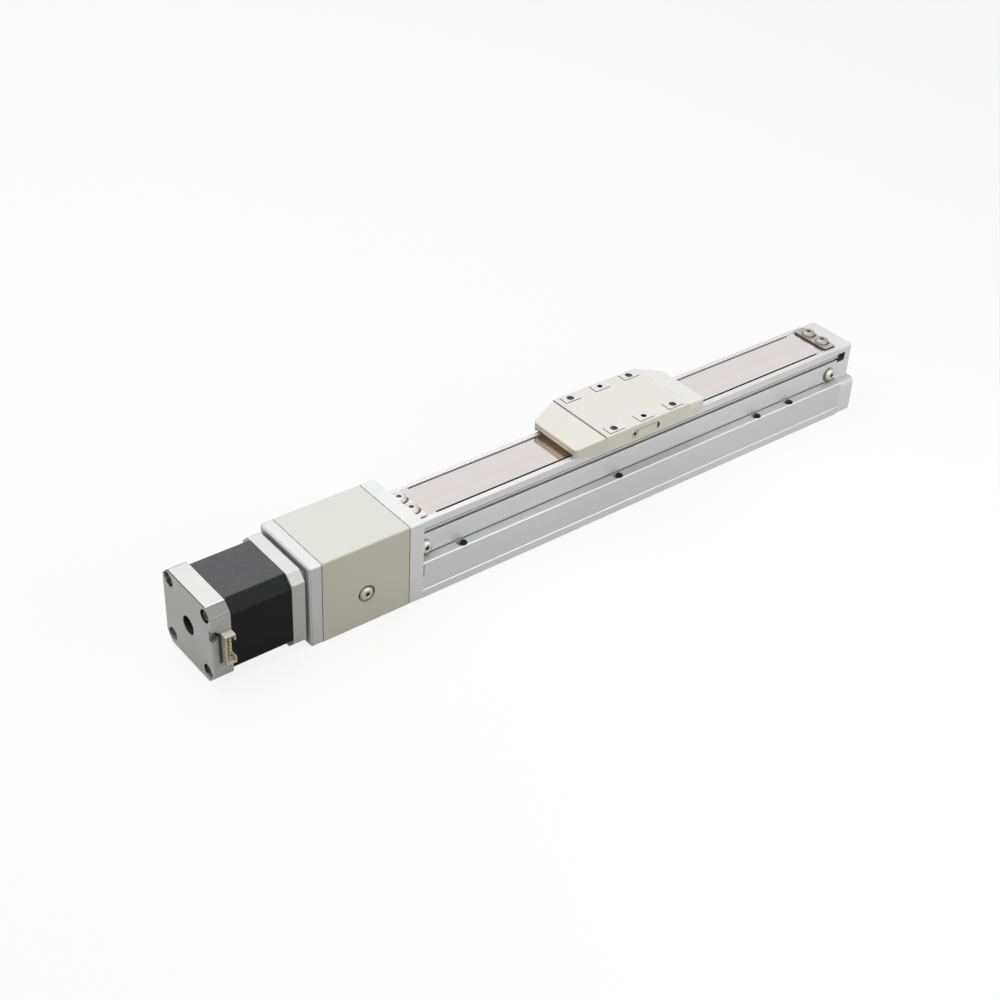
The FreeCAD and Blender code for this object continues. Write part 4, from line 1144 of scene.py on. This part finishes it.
class SLIDE_OT_ball_screw(Operator):
    """Make the ball screw with its helical groove"""

    bl_idname = "slide.ball_screw"
    bl_label = "Ball screw"

    thread_start = -139.5 * MM
    thread_end = 141.9 * MM
    journal = 3.0 * MM
    # Places across the groove, as shares of the ball's radius from its middle
    groove = (-0.98, -0.85, -0.6, -0.3, 0.0, 0.3, 0.6, 0.85, 0.98)
    ball_lift = 0.2 * MM
    # Turns made beyond both ends of the thread, which the square cuts take off
    spare_turns = 3

    def execute(self, context):
        size = context.scene.slide_size
        low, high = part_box("ball_screw")
        axis_z = (low.z + high.z) / 2
        mesh = bmesh.new()
        self.add_thread(mesh, size, (high.z - low.z) / 2, axis_z)
        for start, end in ((low.x, self.thread_start), (self.thread_end, high.x)):
            self.add_journal(mesh, size, start, end, axis_z)
        add_piece("ball_screw_made", mesh, SCREW, ground_steel(), "ball_screw")
        return {"FINISHED"}

    def add_journal(self, mesh, size, start, end, axis_z):
        chamfer = 0.4 * MM
        small = round_line(self.journal - chamfer, size.round_steps)
        full = round_line(self.journal, size.round_steps)
        rings = [(0.0, small), (chamfer, full), (end - start - chamfer, full), (end - start, small)]
        add_turned(mesh, rings, looking((start, 0, axis_z), (1, 0, 0)))

    def add_thread(self, mesh, size, outer, axis_z):
        """Helical strip, one lead wide, whose turns join and whose ends are cut square."""
        steps = size.round_steps // 2
        ball = size.ball / 2
        profile = [(-size.lead / 2, outer)]
        for share in self.groove:
            reach = outer + self.ball_lift - ball * math.sqrt(1 - share * share)
            profile.append((share * ball, min(reach, outer)))
        turns = math.ceil((self.thread_end - self.thread_start) / size.lead) + self.spare_turns
        columns = []
        for j in range(turns * steps + 1):
            angle = math.tau * j / steps
            along = self.thread_start + size.lead * (j / steps - self.spare_turns / 2)
            corners = [(along + offset, reach * math.sin(angle), axis_z + reach * math.cos(angle))
                       for offset, reach in profile]
            columns.append([mesh.verts.new(corner) for corner in corners])
        for j in range(len(columns) - 1):
            here = columns[j]
            there = columns[j + 1]
            for k in range(len(profile) - 1):
                mesh.faces.new((here[k], there[k], there[k + 1], here[k + 1]))
            # The far edge of one turn meets the near edge of the next
            if j + 1 + steps < len(columns):
                mesh.faces.new((here[-1], there[-1], columns[j + 1 + steps][0], columns[j + steps][0]))
        for cut, way in ((self.thread_start, -1), (self.thread_end, 1)):
            everything = [*mesh.verts, *mesh.edges, *mesh.faces]
            bmesh.ops.bisect_plane(mesh, geom=everything, plane_co=(cut, 0, 0), plane_no=(way, 0, 0),
                                   clear_outer=True)
        bmesh.ops.holes_fill(mesh, edges=[edge for edge in mesh.edges if edge.is_boundary])


class SLIDE_OT_table_threads(Operator):
    """Make the threads in the table's four tapped holes"""

    bl_idname = "slide.table_threads"
    bl_label = "Table threads"

    depth = 5.6 * MM
    below_face = 0.5 * MM
    ridge = 0.2 * MM
    sink = 0.02 * MM
    steps = 28

    def execute(self, context):
        pitch = context.scene.slide_size.thread_pitch
        mount = next(m for m in frame["record"]["mounts"] if m["name"] == "table_threads")
        middle = Vector(mount["pos_m"])
        half_x = mount["dims"]["spacing_x_mm"] / 2 * MM
        half_y = mount["dims"]["spacing_y_mm"] / 2 * MM
        wall = mount["dims"]["hole_r_mm"] * MM
        mesh = bmesh.new()
        bottom = middle.z - self.below_face - self.depth
        for x in (middle.x - half_x, middle.x + half_x):
            for y in (middle.y - half_y, middle.y + half_y):
                self.add_ridge(mesh, Vector((x, y, bottom)), wall, pitch)
        add_piece("table_threads_made", mesh, TABLE, cut_threads())
        return {"FINISHED"}

    def add_ridge(self, mesh, foot, wall, pitch):
        """Helical ridge of triangular section that stands on the wall of a hole."""
        root = wall + self.sink
        foot_half = 0.4 * pitch
        section = ((root, -foot_half), (wall - self.ridge, 0.0), (root, foot_half))
        rows = []
        for j in range(int(self.depth / pitch * self.steps) + 1):
            angle = math.tau * j / self.steps
            rise = pitch * j / self.steps
            corners = [Vector((reach * math.cos(angle), reach * math.sin(angle), rise + lift))
                       for reach, lift in section]
            rows.append([mesh.verts.new(foot + corner) for corner in corners])
        join_rows(mesh, rows)


class SLIDE_OT_stage(Operator):
    """Set up the floor, the soft light and the camera"""

    bl_idname = "slide.stage"
    bl_label = "Stage"

    # Size, place and target of each light
    overhead_light = ((1.6, 1.2), (-0.25, 0.3, 1.0), (-0.1, 0.1, 0.0))
    front_light = ((0.5, 0.3), (0.1, -0.45, 0.22), (0.0, 0.0, 0.03))
    floor_half = 4.0
    floor_gap = 0.2 * MM
    floor_seen = (0.95, 0.95, 0.95)
    # Shares of the floor that glow for the camera and for reflections
    glow_seen = 0.86
    glow_in_metal = 0.25

    def execute(self, context):
        settings = context.scene.slide_stage
        self.make_floor(settings)
        self.make_light("overhead_soft_light", settings.overhead, *self.overhead_light)
        self.make_light("front_fill_light", settings.fill, *self.front_light)
        self.make_world(context, settings)
        self.make_camera(context, settings)
        context.scene.view_settings.view_transform = "Standard"
        return {"FINISHED"}

    def seen_directly(self, tree):
        """1 where the camera, a reflection or a clear material looks."""
        path = tree.nodes.new("ShaderNodeLightPath").outputs
        seen = add_math(tree, "ADD", path["Is Camera Ray"], path["Is Glossy Ray"], clamp=True)
        return add_math(tree, "ADD", seen, path["Is Transmission Ray"], clamp=True)

    def make_floor(self, settings):
        half = self.floor_half
        low = cad_box[0].z - self.floor_gap
        mesh = bpy.data.meshes.new("studio_floor")
        mesh.from_pydata([(-half, -half, low), (half, -half, low), (half, half, low), (-half, half, low)],
                         [], [(0, 1, 2, 3)])
        floor = add_object("studio_floor", mesh)
        material = bpy.data.materials.new("studio_floor")
        material.use_nodes = True
        tree = material.node_tree
        tree.nodes.clear()
        output = tree.nodes.new("ShaderNodeOutputMaterial")
        path = tree.nodes.new("ShaderNodeLightPath").outputs
        seen = self.seen_directly(tree)
        colour = add_tint(tree, seen, settings.floor, self.floor_seen)
        diffuse = add_node(tree, "ShaderNodeBsdfDiffuse", Color=colour)
        glow = add_node(tree, "ShaderNodeEmission", Color=(1.0, 1.0, 1.0, 1.0), Strength=1.0)
        mix = tree.nodes.new("ShaderNodeMixShader")
        straight = add_math(tree, "ADD", path["Is Camera Ray"], path["Is Transmission Ray"], clamp=True)
        by_camera = times(tree, straight, self.glow_seen)
        in_metal = times(tree, path["Is Glossy Ray"], self.glow_in_metal)
        feed(tree, mix.inputs[0], add_math(tree, "MAXIMUM", by_camera, in_metal))
        feed(tree, mix.inputs[1], diffuse.outputs[0])
        feed(tree, mix.inputs[2], glow.outputs[0])
        feed(tree, output.inputs["Surface"], mix.outputs[0])
        mesh.materials.append(material)

    def make_light(self, name, power, size, place, target):
        """Soft rectangular light that looks at a target."""
        lamp = bpy.data.lights.new(name, "AREA")
        lamp.shape = "RECTANGLE"
        lamp.size, lamp.size_y = size
        lamp.energy = power
        light = add_object(name, lamp)
        light.location = place
        light.rotation_euler = (Vector(target) - Vector(place)).to_track_quat("-Z", "Y").to_euler()

    def make_world(self, context, settings):
        world = bpy.data.worlds.new("studio")
        world.use_nodes = True
        context.scene.world = world
        tree = world.node_tree
        background = tree.nodes["Background"]
        background.inputs["Color"].default_value = (1.0, 1.0, 1.0, 1.0)
        strength = add_span(tree, self.seen_directly(tree), settings.ambient, 1.0)
        feed(tree, background.inputs["Strength"], strength)

    def make_camera(self, context, settings):
        lens = bpy.data.cameras.new("studio_camera")
        lens.lens = settings.lens
        lens.sensor_width = 36.0
        lens.clip_start = 0.01
        camera = add_object("studio_camera", lens)
        camera.location = settings.camera_place
        camera.rotation_euler = settings.camera_turn
        context.scene.camera = camera


OPERATORS = (
    SLIDE_OT_stage, SLIDE_OT_body, SLIDE_OT_housing, SLIDE_OT_motor, SLIDE_OT_connector, SLIDE_OT_belt,
    SLIDE_OT_table, SLIDE_OT_drive, SLIDE_OT_button_screws, SLIDE_OT_tie_screws, SLIDE_OT_cap_screws,
    SLIDE_OT_ball_screw, SLIDE_OT_table_threads,
)


class SLIDE_PT_build(Panel):
    """Lists the steps and the settings of the slide table"""

    bl_idname = "SLIDE_PT_build"
    bl_label = "Slide table"
    bl_space_type = "VIEW_3D"
    bl_region_type = "UI"
    bl_category = "Slide table"

    def draw(self, context):
        layout = self.layout
        for operator in OPERATORS:
            layout.operator(operator.bl_idname)
        for settings in (context.scene.slide_finish, context.scene.slide_size, context.scene.slide_stage):
            box = layout.box()
            for name in settings.__annotations__:
                box.prop(settings, name)


SETTINGS = {
    "slide_finish": SlideFinishSettings,
    "slide_size": SlideSizeSettings,
    "slide_stage": SlideStageSettings,
}


def register():
    for kind in (*SETTINGS.values(), *OPERATORS, SLIDE_PT_build):
        bpy.utils.register_class(kind)
    for name, kind in SETTINGS.items():
        setattr(bpy.types.Scene, name, PointerProperty(type=kind))


def unregister():
    for name in SETTINGS:
        delattr(bpy.types.Scene, name)
    for kind in reversed((*SETTINGS.values(), *OPERATORS, SLIDE_PT_build)):
        bpy.utils.unregister_class(kind)


def main():
    register()
    bpy.ops.slide.stage()
    bpy.ops.slide.body()
    bpy.ops.slide.housing()
    bpy.ops.slide.motor()
    bpy.ops.slide.connector()
    bpy.ops.slide.belt()
    bpy.ops.slide.table()
    bpy.ops.slide.drive()
    bpy.ops.slide.button_screws()
    bpy.ops.slide.tie_screws()
    bpy.ops.slide.cap_screws()
    bpy.ops.slide.ball_screw()
    bpy.ops.slide.table_threads()


if __name__ == "__main__":
    main()
